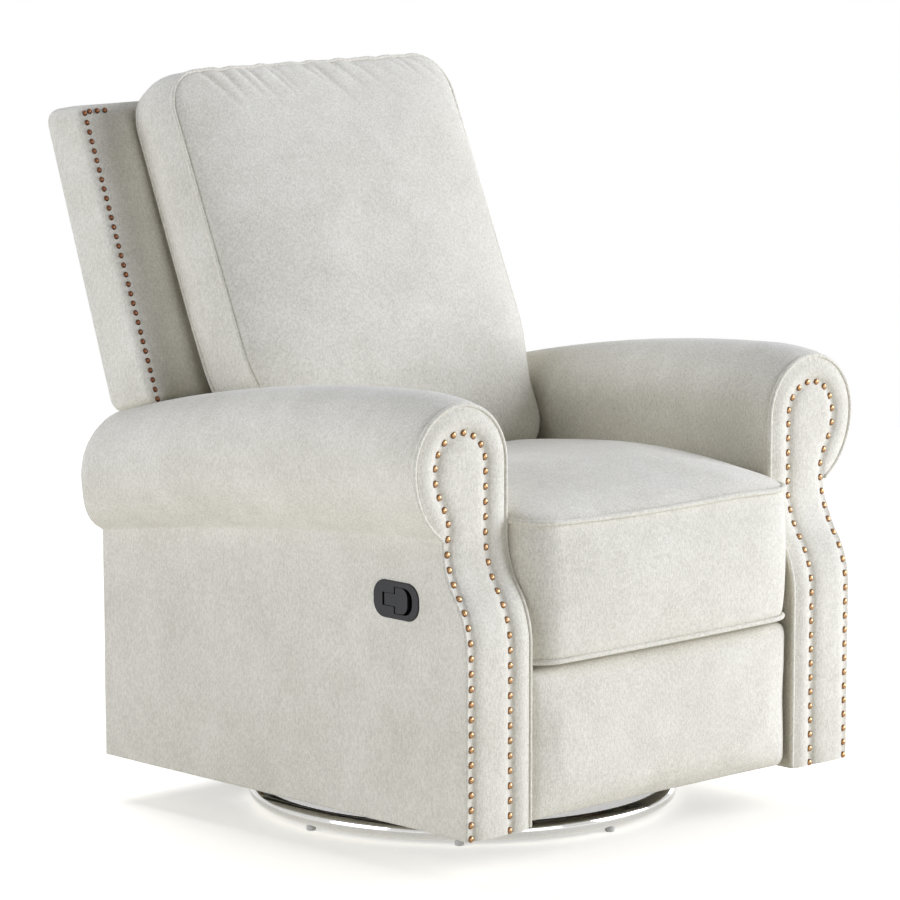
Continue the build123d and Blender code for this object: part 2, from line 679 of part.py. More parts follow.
def link_c():
    link = bar_link(JOINT_F_ON_C, JOINT_Q, LAYER_C)
    link = drill(link, JOINT_F_ON_C, PIN_HOLE, LAYER_C)
    link = drill(link, JOINT_Q, PIN_HOLE, LAYER_C)
    pin = rod((LAYER_C + STEEL, LAYER_A + STEEL), *JOINT_E, RIVET_RADIUS)
    return link + pin + rod((LAYER_A + STEEL, LAYER_A + STEEL + 0.8), *JOINT_E, RIVET_RADIUS)


def link_d():
    link = bar_link(JOINT_G, END_D, LAYER_PLATE)
    link = drill(link, END_D, PIN_HOLE, LAYER_PLATE)
    return link + rod((LAYER_A - 0.8, LAYER_PLATE), *JOINT_G, RIVET_RADIUS)


def footrest_bracket():
    """Angle bracket on the footrest board, hung on links C and D."""
    board_rear = REST_FRONT_Y + REST_PAD + REST_BOARD
    y, z = JOINT_Q
    points = [
        (board_rear, z + 40), (y + 4, z + 14), (y + 13, z), (JOINT_H[0] + 12, JOINT_H[1] + 2),
        (JOINT_H[0] + 4, JOINT_H[1] - 13), (JOINT_H[0] - 14, JOINT_H[1] - 10), (board_rear, z - 70),
    ]
    plate = side_plate(points, LAYER_A, STEEL)
    corners = plate.edges().filter_by(Axis.X).sort_by(Axis.Y)[2:]
    plate = fillet(corners, 5.0)
    plate = drill(plate, JOINT_H, PIN_HOLE, LAYER_A)
    pin = rod((LAYER_C - 0.8, LAYER_A), *JOINT_Q, RIVET_RADIUS)
    flange = block((LAYER_A - 26, LAYER_A + STEEL), (board_rear, board_rear + 3), (z - 70, z + 40))
    return plate + pin + flange


def torque_tube():
    """Round tube that ties the two drive links together."""
    outer = rod((-LAYER_A, LAYER_A), *PIVOT_A, 8.0)
    return outer - rod((-LAYER_A + 3, LAYER_A - 3), *PIVOT_A, 6.5)


def seat_frame():
    """Welded seat frame: front and rear rails and two side rails."""
    low, high = 304.0, SEAT_DECK_Z - 6
    front_y = SEAT_FRONT_Y + APRON_DEPTH
    outer = block((-LAYER_PLATE, LAYER_PLATE), (front_y, 96), (low, high))
    inner = block((-LAYER_PLATE + 30, LAYER_PLATE - 30), (front_y + 26, 70), (low - 1, high + 1))
    return outer - inner


def seat_springs():
    """Sinuous springs across the seat frame, front to rear, in one flat layer."""
    gauge, pitch, swing = 3.6, 56.0, 22.0
    start_y, turns = SEAT_FRONT_Y + APRON_DEPTH + 13, 7
    z = SEAT_DECK_Z - 6
    springs = []
    for x in (-150.0, -75.0, 0.0, 75.0, 150.0):
        points = [(x, start_y)]
        for turn in range(turns):
            side = swing if turn % 2 == 0 else -swing
            y = start_y + 14 + turn * pitch
            points += [(x + side, y), (x + side, y + pitch - 22)]
        points.append((x, start_y + turns * pitch + 12))
        line = FilletPolyline(*points, radius=9.0)
        ribbon = sweep(Plane(origin=line @ 0, z_dir=line % 0) * Rectangle(gauge, gauge), path=line)
        springs.append(Pos(0, 0, z + gauge / 2) * ribbon)
    return springs


def side_track():
    """Long steel plate on the inner face of the arm: the seat slides on it, the back hinges on it."""
    x = ARM_INNER_X - 5.0
    y, z = PIVOT_BACK
    points = [(-270, 306), (y + 22, 306), (y + 22, z + 18), (y - 30, z + 18), (y - 60, 342), (-270, 342)]
    plate = fillet(side_plate(points, x, STEEL).edges().filter_by(Axis.X), 7.0)
    for slot_y in SLOT_PLACES:
        face = Plane.YZ * SlotOverall(SEAT_SLIDE + 2 * ROLLER_RADIUS + 1.0, 2 * ROLLER_RADIUS + 0.4)
        plate -= Pos(x - 1, slot_y - SEAT_SLIDE / 2, SLOT_Z) * extrude(face, STEEL + 2)
    pin = rod((BACK_LOWER_HALF_WIDTH, x), *PIVOT_BACK, 6.0)
    return plate + pin


SEAT_SLIDE = 22.0
ROLLER_RADIUS = 7.0
SLOT_PLACES = (-90.0, 30.0)
SLOT_Z = 324.0


def seat_rollers():
    """Rollers on the seat plates that run in the side tracks' slots."""
    rollers = []
    for y in SLOT_PLACES:
        axle = rod((LAYER_PLATE + STEEL, ARM_INNER_X - 5.4), y, SLOT_Z, ROLLER_RADIUS - 3)
        wheel = rod((ARM_INNER_X - 5.4, ARM_INNER_X - 0.8), y, SLOT_Z, ROLLER_RADIUS)
        rollers.append(axle + wheel)
    return rollers


# ---------------------------------------------------------------- body rear and latch
def rear_panel():
    panel = block((-ARM_INNER_X, ARM_INNER_X), (BODY_REAR_Y - 14, BODY_REAR_Y), (BODY_BOTTOM_Z, 336))
    return fillet(panel.edges().filter_by(Axis.X).group_by(Axis.Z)[-1], 5.0)


def rear_rail():
    return block((-ARM_INNER_X, ARM_INNER_X), (BODY_REAR_Y - 36, BODY_REAR_Y - 14), (90, 180))


def latch_outline(inset=0.0):
    """The escutcheon's rounded outline, on the plane X = 0."""
    corner = LATCH_CORNER - inset
    return Plane.YZ * RectangleRounded(LATCH_LENGTH - 2 * inset, LATCH_HEIGHT - 2 * inset, corner)


def d_face(front, rear, height, corner):
    """A D on the plane X = 0: square at the rear, rounded at the front.

    front and rear are measured along Y from the latch's middle.
    """
    half = height / 2
    box = Polyline((front, -half), (rear, -half), (rear, half), (front, half), close=True)
    face = make_face(box)
    face = fillet(face.vertices().group_by(Axis.X)[0], corner)
    return Plane.YZ * face


def latch_plate():
    """Moulded escutcheon on the right arm's outer side, with a finger recess."""
    place = Pos(-ARM_OUTER_X, LATCH_Y, LATCH_Z)
    plate = place * extrude(latch_outline(), LATCH_PROUD, dir=(-1, 0, 0))
    plate = fillet(plate.faces().sort_by(Axis.X)[0].edges(), 2.0)
    cup = place * extrude(latch_outline(inset=4.0), LATCH_CUP + 0.6, dir=(1, 0, 0))
    return plate + cup - latch_well() - latch_pin()


def latch_well():
    """The recess that holds the lever and leaves room for the fingers."""
    paddle_room = d_face(WELL_FRONT, PADDLE_REAR + SHOULDER_GAP, PADDLE_HEIGHT + 2 * GAP, 15.0)
    stem_length = STEM_REAR + STEM_SWING
    stem_room = Plane.YZ * Pos(stem_length / 2, 0) * Rectangle(stem_length, STEM_HEIGHT + 2 * GAP)
    place = Pos(-ARM_OUTER_X - LATCH_PROUD - 1, LATCH_Y, LATCH_Z)
    depth = LATCH_PROUD + 1 + LATCH_CUP - 1.0
    return place * (extrude(paddle_room, depth, dir=(1, 0, 0)) + extrude(stem_room, depth, dir=(1, 0, 0)))


def latch_seat():
    """The hole in the arm's side that the escutcheon's cup fills."""
    return Pos(-ARM_OUTER_X - 1, LATCH_Y, LATCH_Z) * extrude(latch_outline(inset=4.0), 20, dir=(1, 0, 0))


LATCH_HINGE = (-ARM_OUTER_X + 3.0, LATCH_Y + STEM_REAR - 3.0)


def latch_lever():
    """T-shaped lever: a stem on a vertical pin and a D-shaped paddle in front."""
    place = Pos(-ARM_OUTER_X - LATCH_PROUD + 0.5, LATCH_Y, LATCH_Z)
    paddle = d_face(PADDLE_FRONT, PADDLE_REAR, PADDLE_HEIGHT, 12.0)
    stem = Plane.YZ * Pos((STEM_REAR + PADDLE_FRONT / 2) / 2, 0) * Rectangle(STEM_REAR - PADDLE_FRONT / 2, STEM_HEIGHT)
    lever = place * (extrude(paddle, LEVER_THICK, dir=(1, 0, 0)) + extrude(stem, LEVER_THICK, dir=(1, 0, 0)))
    knuckle = Cylinder(3.4, STEM_HEIGHT, align=(Align.CENTER,) * 3)
    bore = Cylinder(1.55, 20, align=(Align.CENTER,) * 3)
    lever += Pos(*LATCH_HINGE, LATCH_Z) * knuckle
    return lever - Pos(*LATCH_HINGE, LATCH_Z) * bore


def latch_pin():
    pin = Cylinder(1.5, STEM_HEIGHT + 6, align=(Align.CENTER,) * 3)
    return Pos(*LATCH_HINGE, LATCH_Z) * pin


# ---------------------------------------------------------------- write the nodes
def write_base():
    save("ring_base", ring_base())
    save("ring_feet", ring_feet())
    save("base_cross", base_cross())
    save("swivel_race", swivel_race())


def write_glider():
    save("turntable", turntable())
    upper, lower = glide_upper_pins(), glide_lower_pins()
    bracket = glide_bracket()
    for pin in upper:
        bracket -= pin
    save_pair("glide_bracket", bracket)
    save("glide_upper_pins", Compound(upper + [mirrored(pin) for pin in upper]))
    for index, end in enumerate(("front", "rear")):
        save_pair(f"glide_link_{end}", glide_link(index))
    save("glide_lower_pins", Compound(lower + [mirrored(pin) for pin in lower]))
    save_pair("glide_rail", glide_rail())
    front, rear = cross_rails()
    save("front_cross_rail", front)
    save("rear_cross_rail", rear)


def write_arms():
    welt, front, body = arm_welt(), arm_front(), arm_body()
    track = side_track()
    save_pair("arm_front", front - welt)
    save_pair("arm_welt", welt)
    save("arm_left", body - welt)
    save("arm_right", mirrored(body - welt) - latch_seat())
    save_pair("arm_frame", arm_frame())
    save_pair("side_track", track)
    save("rear_panel", rear_panel())
    save("rear_rail", rear_rail())
    save("latch_plate", latch_plate())
    save("latch_lever", latch_lever())
    save("latch_pin", latch_pin())


def write_back():
    save("back_shell", back_shell())
    save("back_frame", back_frame())
    save("back_cushion", back_cushion())
    save_pair("back_bracket", back_bracket())


def write_seat():
    rollers = seat_rollers()
    save("seat_cushion", seat_cushion())
    save("seat_frame", seat_frame())
    save("seat_springs", Compound(seat_springs()))
    save_pair("seat_plate", seat_plate())
    save("seat_rollers", Compound(rollers + [mirrored(roller) for roller in rollers]))


def write_footrest():
    save_pair("drive_link", link_a())
    save("torque_tube", torque_tube())
    save_pair("support_link", link_b())
    save_pair("long_link", link_c())
    save_pair("tilt_link", link_d())
    save_pair("footrest_bracket", footrest_bracket())
    save("footrest_board", footrest_board())
    save("footrest_pad", footrest_pad())


write_base()
write_glider()
write_arms()
write_back()
write_seat()
write_footrest()
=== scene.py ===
"""Upholstery, trim and finishes for the swivel glider recliner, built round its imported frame.

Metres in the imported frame's axes: the origin is on the floor under the chair's middle, +Z is up,
the sitter faces -Y, and +X is the sitter's left.
"""

import json
import logging
import math
import random
from dataclasses import dataclass, field
from enum import Enum
from typing import Callable, Iterable, Sequence

import bmesh
import bpy
import numpy as np
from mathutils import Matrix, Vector


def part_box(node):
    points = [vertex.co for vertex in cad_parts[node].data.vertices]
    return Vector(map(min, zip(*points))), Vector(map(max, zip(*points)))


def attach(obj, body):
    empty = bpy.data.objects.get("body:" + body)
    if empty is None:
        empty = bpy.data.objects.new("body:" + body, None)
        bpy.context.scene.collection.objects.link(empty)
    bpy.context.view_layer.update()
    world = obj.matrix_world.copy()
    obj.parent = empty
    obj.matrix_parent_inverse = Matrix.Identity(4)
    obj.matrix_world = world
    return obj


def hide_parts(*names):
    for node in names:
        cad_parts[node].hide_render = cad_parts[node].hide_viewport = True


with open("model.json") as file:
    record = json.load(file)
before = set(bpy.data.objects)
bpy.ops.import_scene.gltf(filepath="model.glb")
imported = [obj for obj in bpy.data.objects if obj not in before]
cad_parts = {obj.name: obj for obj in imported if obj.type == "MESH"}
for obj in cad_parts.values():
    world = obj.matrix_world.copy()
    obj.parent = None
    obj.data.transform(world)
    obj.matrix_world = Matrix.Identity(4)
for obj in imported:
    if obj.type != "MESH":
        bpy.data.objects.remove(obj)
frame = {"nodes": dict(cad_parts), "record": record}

LOG = logging.getLogger("recliner")

Point = tuple[float, float, float]
Colour = tuple[float, float, float]
Pair = tuple[float, float]
Array = np.ndarray
Piece = bpy.types.Object
Material = bpy.types.Material
Socket = bpy.types.NodeSocket
Tree = bpy.types.NodeTree
GroupFunction = Callable[[], Tree]
Face = tuple[int, ...]
Spot = tuple[Vector, Vector]


class Side(Enum):
    """The two sides of the chair, as signs of X."""

    LEFT = 1
    RIGHT = -1

    @property
    def label(self) -> str:
        """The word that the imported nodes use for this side."""
        return self.name.lower()


# ---------------------------------------------------------------------------- shader nodes
class Wiring:
    """Adds and joins the nodes of one shader tree."""

    def __init__(self, tree: Tree) -> None:
        """Takes the tree to work on."""
        self.tree = tree

    def feed(self, target: Socket, value: object) -> None:
        """Feeds an input.

        Args:
            target: the input.
            value: another node's output, or a plain number, vector or colour.
        """
        if isinstance(value, bpy.types.NodeSocket):
            self.tree.links.new(value, target)
        else:
            target.default_value = value

    def node(self, kind: str, inputs: dict[str | int, object], **settings: object) -> bpy.types.Node:
        """Adds a node.

        Args:
            kind: its type, without ShaderNode in front.
            inputs: what feeds each input, by the input's name or number.
            settings: its own properties.

        Returns:
            The node.
        """
        made = self.tree.nodes.new(f"ShaderNode{kind}")
        for key, value in settings.items():
            setattr(made, key, value)
        for key, value in inputs.items():
            self.feed(made.inputs[key], value)
        return made

    def math(self, operation: str, first: object, second: object) -> Socket:
        """The result of a math node on two numbers or sockets."""
        return self.node("Math", {0: first, 1: second}, operation=operation).outputs[0]

    def blend(self, share: Socket, first: object, second: object) -> Socket:
        """A colour between two colours, by a share of 0 to 1."""
        return self.node("Mix", {0: share, 6: first, 7: second}, data_type="RGBA").outputs[2]

    def remap(self, value: Socket, before: Pair, after: Pair) -> Socket:
        """Maps a value linearly and clamps it.

        Args:
            value: the value.
            before: the range that it is read over.
            after: the range that it is mapped to.

        Returns:
            The mapped value.
        """
        ends = {"From Min": before[0], "From Max": before[1], "To Min": after[0], "To Max": after[1]}
        return self.node("MapRange", {"Value": value, **ends}).outputs["Result"]

    def noise(self, vector: Socket, scale: object, detail: float, roughness: float) -> Socket:
        """Values of a 3D noise.

        Args:
            vector: where it is read.
            scale: its repeats in a metre, as a number or a socket.
            detail: how many octaves it has.
            roughness: how strong the finer octaves are.

        Returns:
            The noise, from 0 to 1.
        """
        inputs = {"Vector": vector, "Scale": scale, "Detail": detail, "Roughness": roughness}
        return self.node("TexNoise", inputs).outputs["Fac"]

    def seen_rays(self, *kinds: str) -> Socket:
        """A mask of the rays of these kinds.

        Args:
            kinds: names of the Light Path node's outputs.

        Returns:
            1 for a ray of any of the kinds, and 0 for the others.
        """
        path = self.node("LightPath", {})
        total = path.outputs[kinds[0]]
        for kind in kinds[1:]:
            total = self.math("MAXIMUM", total, path.outputs[kind])
        return total


class GroupMaker(Wiring):
    """Builds one shader node group with named inputs and outputs."""

    def __init__(self, name: str, inputs: dict[str, object], outputs: dict[str, str]) -> None:
        """Makes the empty group.

        Args:
            name: the group's name.
            inputs: input name to default: None is a vector, a number a float and a tuple a colour.
            outputs: output name to socket type.
        """
        super().__init__(bpy.data.node_groups.new(name, "ShaderNodeTree"))
        for label, default in inputs.items():
            kind = "NodeSocketColor" if isinstance(default, tuple) else "NodeSocketFloat"
            if default is None:
                kind = "NodeSocketVector"
            socket = self.tree.interface.new_socket(label, in_out="INPUT", socket_type=kind)
            if default is not None:
                socket.default_value = default
        for label, kind in outputs.items():
            self.tree.interface.new_socket(label, in_out="OUTPUT", socket_type=kind)
        self.given = self.tree.nodes.new("NodeGroupInput").outputs
        self.result = self.tree.nodes.new("NodeGroupOutput").inputs

    def stretched(self, vector: Socket, scale: Point) -> Socket:
        """A vector scaled along each axis, to draw a pattern out along another."""
        return self.node("VectorMath", {0: vector, 1: scale}, operation="MULTIPLY").outputs[0]

    def put_out(self, **values: Socket) -> Tree:
        """Feeds the group's outputs.

        Args:
            values: what feeds each output, by its name.

        Returns:
            The finished group.
        """
        for label, value in values.items():
            self.feed(self.result[label], value)
        return self.tree


@dataclass(frozen=True)
class Nap:
    """The brushed cloth's patterns, in repeats to a metre, and how far they are drawn out."""

    blotches: float = 8.0
    patches: float = 24.0
    slubs: float = 360.0
    picks: float = 430.0
    fibres: float = 1100.0
    slub_draw: Point = (1.15, 1.15, 0.5)
    pick_draw: Point = (0.55, 0.55, 1.3)
    fibre_height: float = 0.5
    fleck_height: float = 0.35


def nap_group() -> Tree:
    """Heathered cloth with a short nap.

    Returns:
        The group: the cloth's colour, its height, and the lie of the nap in broad soft blotches.
    """
    nap = Nap()
    white, grey = (1.0, 1.0, 1.0, 1.0), (0.5, 0.5, 0.5, 1.0)
    made = GroupMaker(
        "brushed_nap",
        {"Vector": None, "Colour": white, "Shade": grey, "Blotch": 0.5, "Fleck": 0.5},
        {"Colour": "NodeSocketColor", "Height": "NodeSocketFloat", "Lay": "NodeSocketFloat"},
    )
    vector = made.given["Vector"]
    broad = made.noise(vector, nap.blotches, 4.0, 0.62)
    patch = made.noise(vector, nap.patches, 3.0, 0.6)
    slub = made.noise(made.stretched(vector, nap.slub_draw), nap.slubs, 2.0, 0.65)
    pick = made.noise(made.stretched(vector, nap.pick_draw), nap.picks, 2.0, 0.6)
    fibre = made.noise(vector, nap.fibres, 2.0, 0.6)
    blotch = made.math(
        "ADD", made.remap(broad, (0.38, 0.64), (0.0, 0.6)), made.remap(patch, (0.38, 0.66), (0.0, 0.4))
    )
    fleck = made.math(
        "ADD", made.remap(slub, (0.40, 0.60), (0.0, 0.62)), made.remap(pick, (0.40, 0.62), (0.0, 0.38))
    )
    blotched = made.math("MULTIPLY", blotch, made.given["Blotch"])
    amount = made.math("ADD", blotched, made.math("MULTIPLY", fleck, made.given["Fleck"]))
    raised = made.math("MULTIPLY", fibre, nap.fibre_height)
    height = made.math("SUBTRACT", raised, made.math("MULTIPLY", fleck, nap.fleck_height))
    colour = made.blend(amount, made.given["Colour"], made.given["Shade"])
    return made.put_out(Colour=colour, Height=height, Lay=blotch)


def grain_group() -> Tree:
    """Fine speckle for moulded, painted and plated surfaces.

    Returns:
        The group: a mask and a height, both at one scale.
    """
    inputs = {"Vector": None, "Scale": 400.0}
    made = GroupMaker("fine_grain", inputs, {"Mask": "NodeSocketFloat", "Height": "NodeSocketFloat"})
    fine = made.noise(made.given["Vector"], made.given["Scale"], 3.0, 0.6)
    coarse = made.noise(made.given["Vector"], 24.0, 2.0, 0.5)
    mask = made.math(
        "MULTIPLY", made.remap(fine, (0.3, 0.7), (0.0, 1.0)), made.remap(coarse, (0.2, 0.8), (0.4, 1.0))
    )
    return made.put_out(Mask=mask, Height=fine)


class Groups:
    """The shared shader groups, each made once."""

    _made: dict[str, Tree] = {}

    @classmethod
    def get(cls, maker: GroupFunction) -> Tree:
        """Gives a shared group.

        Args:
            maker: the function that makes it.

        Returns:
            The group, made on the first call.
        """
        if maker.__name__ not in cls._made:
            cls._made[maker.__name__] = maker()
        return cls._made[maker.__name__]


class MaterialMaker(Wiring):
    """One material with its Principled shader and shared groups."""

    def __init__(self, name: str) -> None:
        """Makes the material with its shader.

        Args:
            name: the material's name.
        """
        self.material = bpy.data.materials.new(name)
        self.material.use_nodes = True
        super().__init__(self.material.node_tree)
        self.shader = self.tree.nodes["Principled BSDF"]
        self.place = self.node("TexCoord", {}).outputs["Object"]

    def set(self, **values: object) -> None:
        """Sets the shader's own sockets; underscores stand for spaces."""
        for key, value in values.items():
            self.shader.inputs[key.replace("_", " ")].default_value = value

    def link(self, source: Socket, target: str) -> None:
        """Feeds one of the shader's sockets."""
        self.feed(self.shader.inputs[target], source)

    def attribute(self, name: str) -> Socket:
        """A number that the mesh holds at each of its points."""
        return self.node("Attribute", {}, attribute_name=name).outputs["Fac"]

    def group(self, maker: GroupFunction, **values: object) -> Sequence[Socket]:
        """Places a shared group.

        Args:
            maker: the function that makes the group.
            values: the values of its inputs here.

        Returns:
            The placed group's outputs.
        """
        return self.node("Group", {"Vector": self.place, **values}, node_tree=Groups.get(maker)).outputs

    def spread(self, mask: Socket, low: object, high: object, target: str) -> None:
        """Feeds one of the shader's sockets over a mask.

        Args:
            mask: the mask.
            low: the number or colour where the mask is 0.
            high: the number or colour where it is 1.
            target: the socket's name.
        """
        if isinstance(low, tuple):
            self.link(self.blend(mask, (*low, 1.0), (*high, 1.0)), target)
        else:
            self.link(self.remap(mask, (0.0, 1.0), (low, high)), target)

    def bump(self, height: Socket, strength: float, distance: float) -> None:
        """Feeds the normal from a height."""
        made = self.node("Bump", {"Height": height, "Strength": strength, "Distance": distance})
        self.link(made.outputs["Normal"], "Normal")


# ---------------------------------------------------------------------------- finishes
@dataclass(frozen=True)
class ClothFinish:
    """Brushed ivory cloth."""

    name: str
    colour: Colour
    shade: Colour
    blotch: float
    fleck: float
    sheen: float = 0.25
    bump: float = 0.5

    def material(self) -> Material:
        """Builds the material.

        Returns:
            The material, softer where the nap lies down.
        """
        made = MaterialMaker(self.name)
        made.set(Roughness=0.92, Sheen_Weight=self.sheen, Sheen_Roughness=0.45, Specular_IOR_Level=0.18)
        tones = {"Colour": (*self.colour, 1.0), "Shade": (*self.shade, 1.0)}
        nap = made.group(nap_group, Blotch=self.blotch, Fleck=self.fleck, **tones)
        made.link(nap["Colour"], "Base Color")
        made.spread(nap["Lay"], 0.96, 0.82, "Roughness")
        made.bump(nap["Height"], self.bump, 0.0009)
        return made.material


@dataclass(frozen=True)
class MetalFinish:
    """Bare, plated or coppered metal."""

    name: str
    colour: Colour
    shade: Colour
    rough: Pair
    scale: float = 180.0
    bump: float = 0.05
    # Whether the base colour carries painted shade at each nail's rim.
    painted_rim_shade: bool = False

    def material(self) -> Material:
        """Builds the material.

        Returns:
            The material, with painted shade at the mesh's own rim where that is asked for.
        """
        made = MaterialMaker(self.name)
        made.set(Metallic=1.0)
        grain = made.group(grain_group, Scale=self.scale)
        tone = grain["Mask"]
        # Painted shade: the rim number darkens the base colour towards the dark tone, standing in for dark
        # reflections at the rim.
        if self.painted_rim_shade:
            tone = made.math("MAXIMUM", made.attribute("rim"), tone)
        made.spread(tone, self.colour, self.shade, "Base Color")
        made.spread(grain["Mask"], *self.rough, "Roughness")
        made.bump(grain["Height"], self.bump, 0.0002)
        return made.material


@dataclass(frozen=True)
class CoatFinish:
    """Painted metal or moulded plastic."""

    name: str
    colour: Colour
    shade: Colour
    rough: Pair
    scale: float = 700.0
    bump: float = 0.25

    def material(self) -> Material:
        """Builds the material.

        Returns:
            The material.
        """
        made = MaterialMaker(self.name)
        made.set(Specular_IOR_Level=0.4)
        grain = made.group(grain_group, Scale=self.scale)
        made.spread(grain["Mask"], self.colour, self.shade, "Base Color")
        made.spread(grain["Mask"], *self.rough, "Roughness")
        made.bump(grain["Height"], self.bump, 0.0003)
        return made.material


@dataclass(frozen=True)
class TimberFinish:
    """Sawn softwood with long grain."""

    name: str
    early: Colour
    late: Colour

    def material(self) -> Material:
        """Builds the material.

        Returns:
            The material, early and late wood in wavy bands.
        """
        made = MaterialMaker(self.name)
        bands = made.node("TexWave", {"Vector": made.place, "Scale": 22.0, "Distortion": 5.0, "Detail": 3.0})
        made.spread(bands.outputs["Fac"], self.early, self.late, "Base Color")
        grain = made.group(grain_group, Scale=300.0)
        made.spread(grain["Mask"], 0.62, 0.8, "Roughness")
        made.bump(grain["Height"], 0.3, 0.0004)
        return made.material


class Palette:
    """Every finish of the chair, by the record's slot."""

    def __init__(self) -> None:
        """Builds the materials."""
        finishes = {
            "upholstery": ClothFinish("ivory_nap", (0.87, 0.834, 0.714), (0.60, 0.566, 0.452), 0.36, 0.62),
            "welt_cord": ClothFinish("ivory_cord", (0.87, 0.834, 0.71), (0.60, 0.565, 0.448), 0.2, 0.65),
            "chrome": MetalFinish("ring_chrome", (0.66, 0.655, 0.64), (0.60, 0.595, 0.58), (0.05, 0.13)),
            "foot_plastic": CoatFinish("glide_plastic", (0.60, 0.59, 0.56), (0.50, 0.49, 0.46), (0.45, 0.6)),
            "black_steel": CoatFinish(
                "black_paint", (0.018, 0.018, 0.020), (0.035, 0.035, 0.037), (0.36, 0.52), bump=0.12
            ),
            "zinc_steel": MetalFinish(
                "zinc_plate", (0.48, 0.48, 0.49), (0.36, 0.36, 0.37), (0.28, 0.46), scale=260.0
            ),
            "timber": TimberFinish("sawn_timber", (0.60, 0.43, 0.25), (0.42, 0.28, 0.15)),
            "latch_black": CoatFinish(
                "latch_plastic", (0.006, 0.0058, 0.006), (0.012, 0.0115, 0.012), (0.46, 0.62), bump=0.35
            ),
            # The dark tone serves the random speckle and also the painted shade at each nail's rim.
            "nail_copper": MetalFinish(
                "nail_copper", (0.56, 0.335, 0.165), (0.115, 0.052, 0.024), (0.15, 0.28),
                scale=420.0, painted_rim_shade=True,
            ),
        }
        self.by_slot = {slot: finish.material() for slot, finish in finishes.items()}
        self.cloth, self.cord = self.by_slot["upholstery"], self.by_slot["welt_cord"]
        self.copper = self.by_slot["nail_copper"]
        # A darker, rougher copy of the nail copper for the back's nails: painted shade for nails on the
        # wing's shaded front.
        self.shaded_copper = MetalFinish(
            "nail_copper_shaded", (0.20, 0.088, 0.045), (0.06, 0.026, 0.014), (0.30, 0.46),
            scale=420.0, painted_rim_shade=True,
        ).material()

    def dress_cad(self, record: dict) -> None:
        """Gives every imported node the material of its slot.

        Args:
            record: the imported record, which names each sub-part's node and slot.
        """
        for part in record["subparts"]:
            slots = frame["nodes"][part["node"]].data.materials
            material = self.by_slot[part["material_slot"]]
            if not slots:
                slots.append(material)
            for index in range(len(slots)):
                slots[index] = material


# ---------------------------------------------------------------------------- mesh helpers
CORD_STEP = 0.004
CORD_SIDES = 10
MERGE_WITHIN = 0.00008
SLIVER_WITHIN = 0.00002


def smoothstep(value: Array, low: float, high: float) -> Array:
    """A smooth 0 to 1 rise between two values."""
    share = np.clip((value - low) / (high - low), 0.0, 1.0)
    return share * share * (3.0 - 2.0 * share)


def piece(name: str, points: Array, faces: Iterable[Sequence[int]], material: Material) -> Piece:
    """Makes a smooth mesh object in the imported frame's axes.

    Args:
        name: the piece's name.
        points: vertex positions, one row each, in metres.
        faces: vertex indices of each face.
        material: its material.

    Returns:
        The linked object, its doubles merged and its normals turned outwards.
    """
    mesh = bpy.data.meshes.new(name)
    mesh.from_pydata([tuple(p) for p in np.asarray(points, float)], [], [tuple(f) for f in faces])
    work = bmesh.new()
    work.from_mesh(mesh)
    bmesh.ops.remove_doubles(work, verts=work.verts, dist=MERGE_WITHIN)
    bmesh.ops.dissolve_degenerate(work, edges=work.edges, dist=SLIVER_WITHIN)
    bmesh.ops.recalc_face_normals(work, faces=work.faces)
    work.to_mesh(mesh)
    work.free()
    mesh.polygons.foreach_set("use_smooth", [True] * len(mesh.polygons))
    mesh.materials.append(material)
    made = bpy.data.objects.new(name, mesh)
    bpy.context.scene.collection.objects.link(made)
    return made


def grid_faces(rows: int, columns: int, start: int = 0, closed: bool = False) -> list[Face]:
    """Joins a grid of vertices, stored row by row, with quads.

    Args:
        rows: how many rows it has.
        columns: how many vertices a row has.
        start: the index of its first vertex.
        closed: whether each row is a ring.

    Returns:
        The vertex indices of each quad.
    """
    quads = []
    for first in range(start, start + (rows - 1) * columns, columns):
        for c in range(columns if closed else columns - 1):
            ahead = (c + 1) % columns
            quads.append((first + c, first + ahead, first + columns + ahead, first + columns + c))
    return quads


def coordinates(target: Piece) -> Array:
    """Reads the vertex positions of a piece.

    Args:
        target: the piece.

    Returns:
        The positions, one row each.
    """
    flat = np.zeros(len(target.data.vertices) * 3)
    target.data.vertices.foreach_get("co", flat)
    return flat.reshape(-1, 3)


def move_vertices(target: Piece, points: Array) -> None:
    """Writes vertex positions."""
    target.data.vertices.foreach_set("co", np.asarray(points, float).ravel())
    target.data.update()


def normals_of(target: Piece) -> Array:
    """Vertex normals of a piece, one row each."""
    return np.array([v.normal for v in target.data.vertices], float).reshape(-1, 3)


def resample(path: Array, step: float, closed: bool = False) -> Array:
    """Spaces points evenly along a polyline.

    Args:
        path: the polyline's points.
        step: about how far apart the new points are.
        closed: whether the polyline is a ring.

    Returns:
        The new points, and for a ring without its start repeated.
    """
    line = np.vstack([path, path[:1]]) if closed else np.asarray(path, float)
    lengths = np.r_[0.0, np.cumsum(np.linalg.norm(np.diff(line, axis=0), axis=1))]
    count = max(int(round(lengths[-1] / step)), 2)
    marks = np.linspace(0.0, lengths[-1], count + 1)
    points = np.column_stack([np.interp(marks, lengths, line[:, k]) for k in range(3)])
    return points[:-1] if closed else points


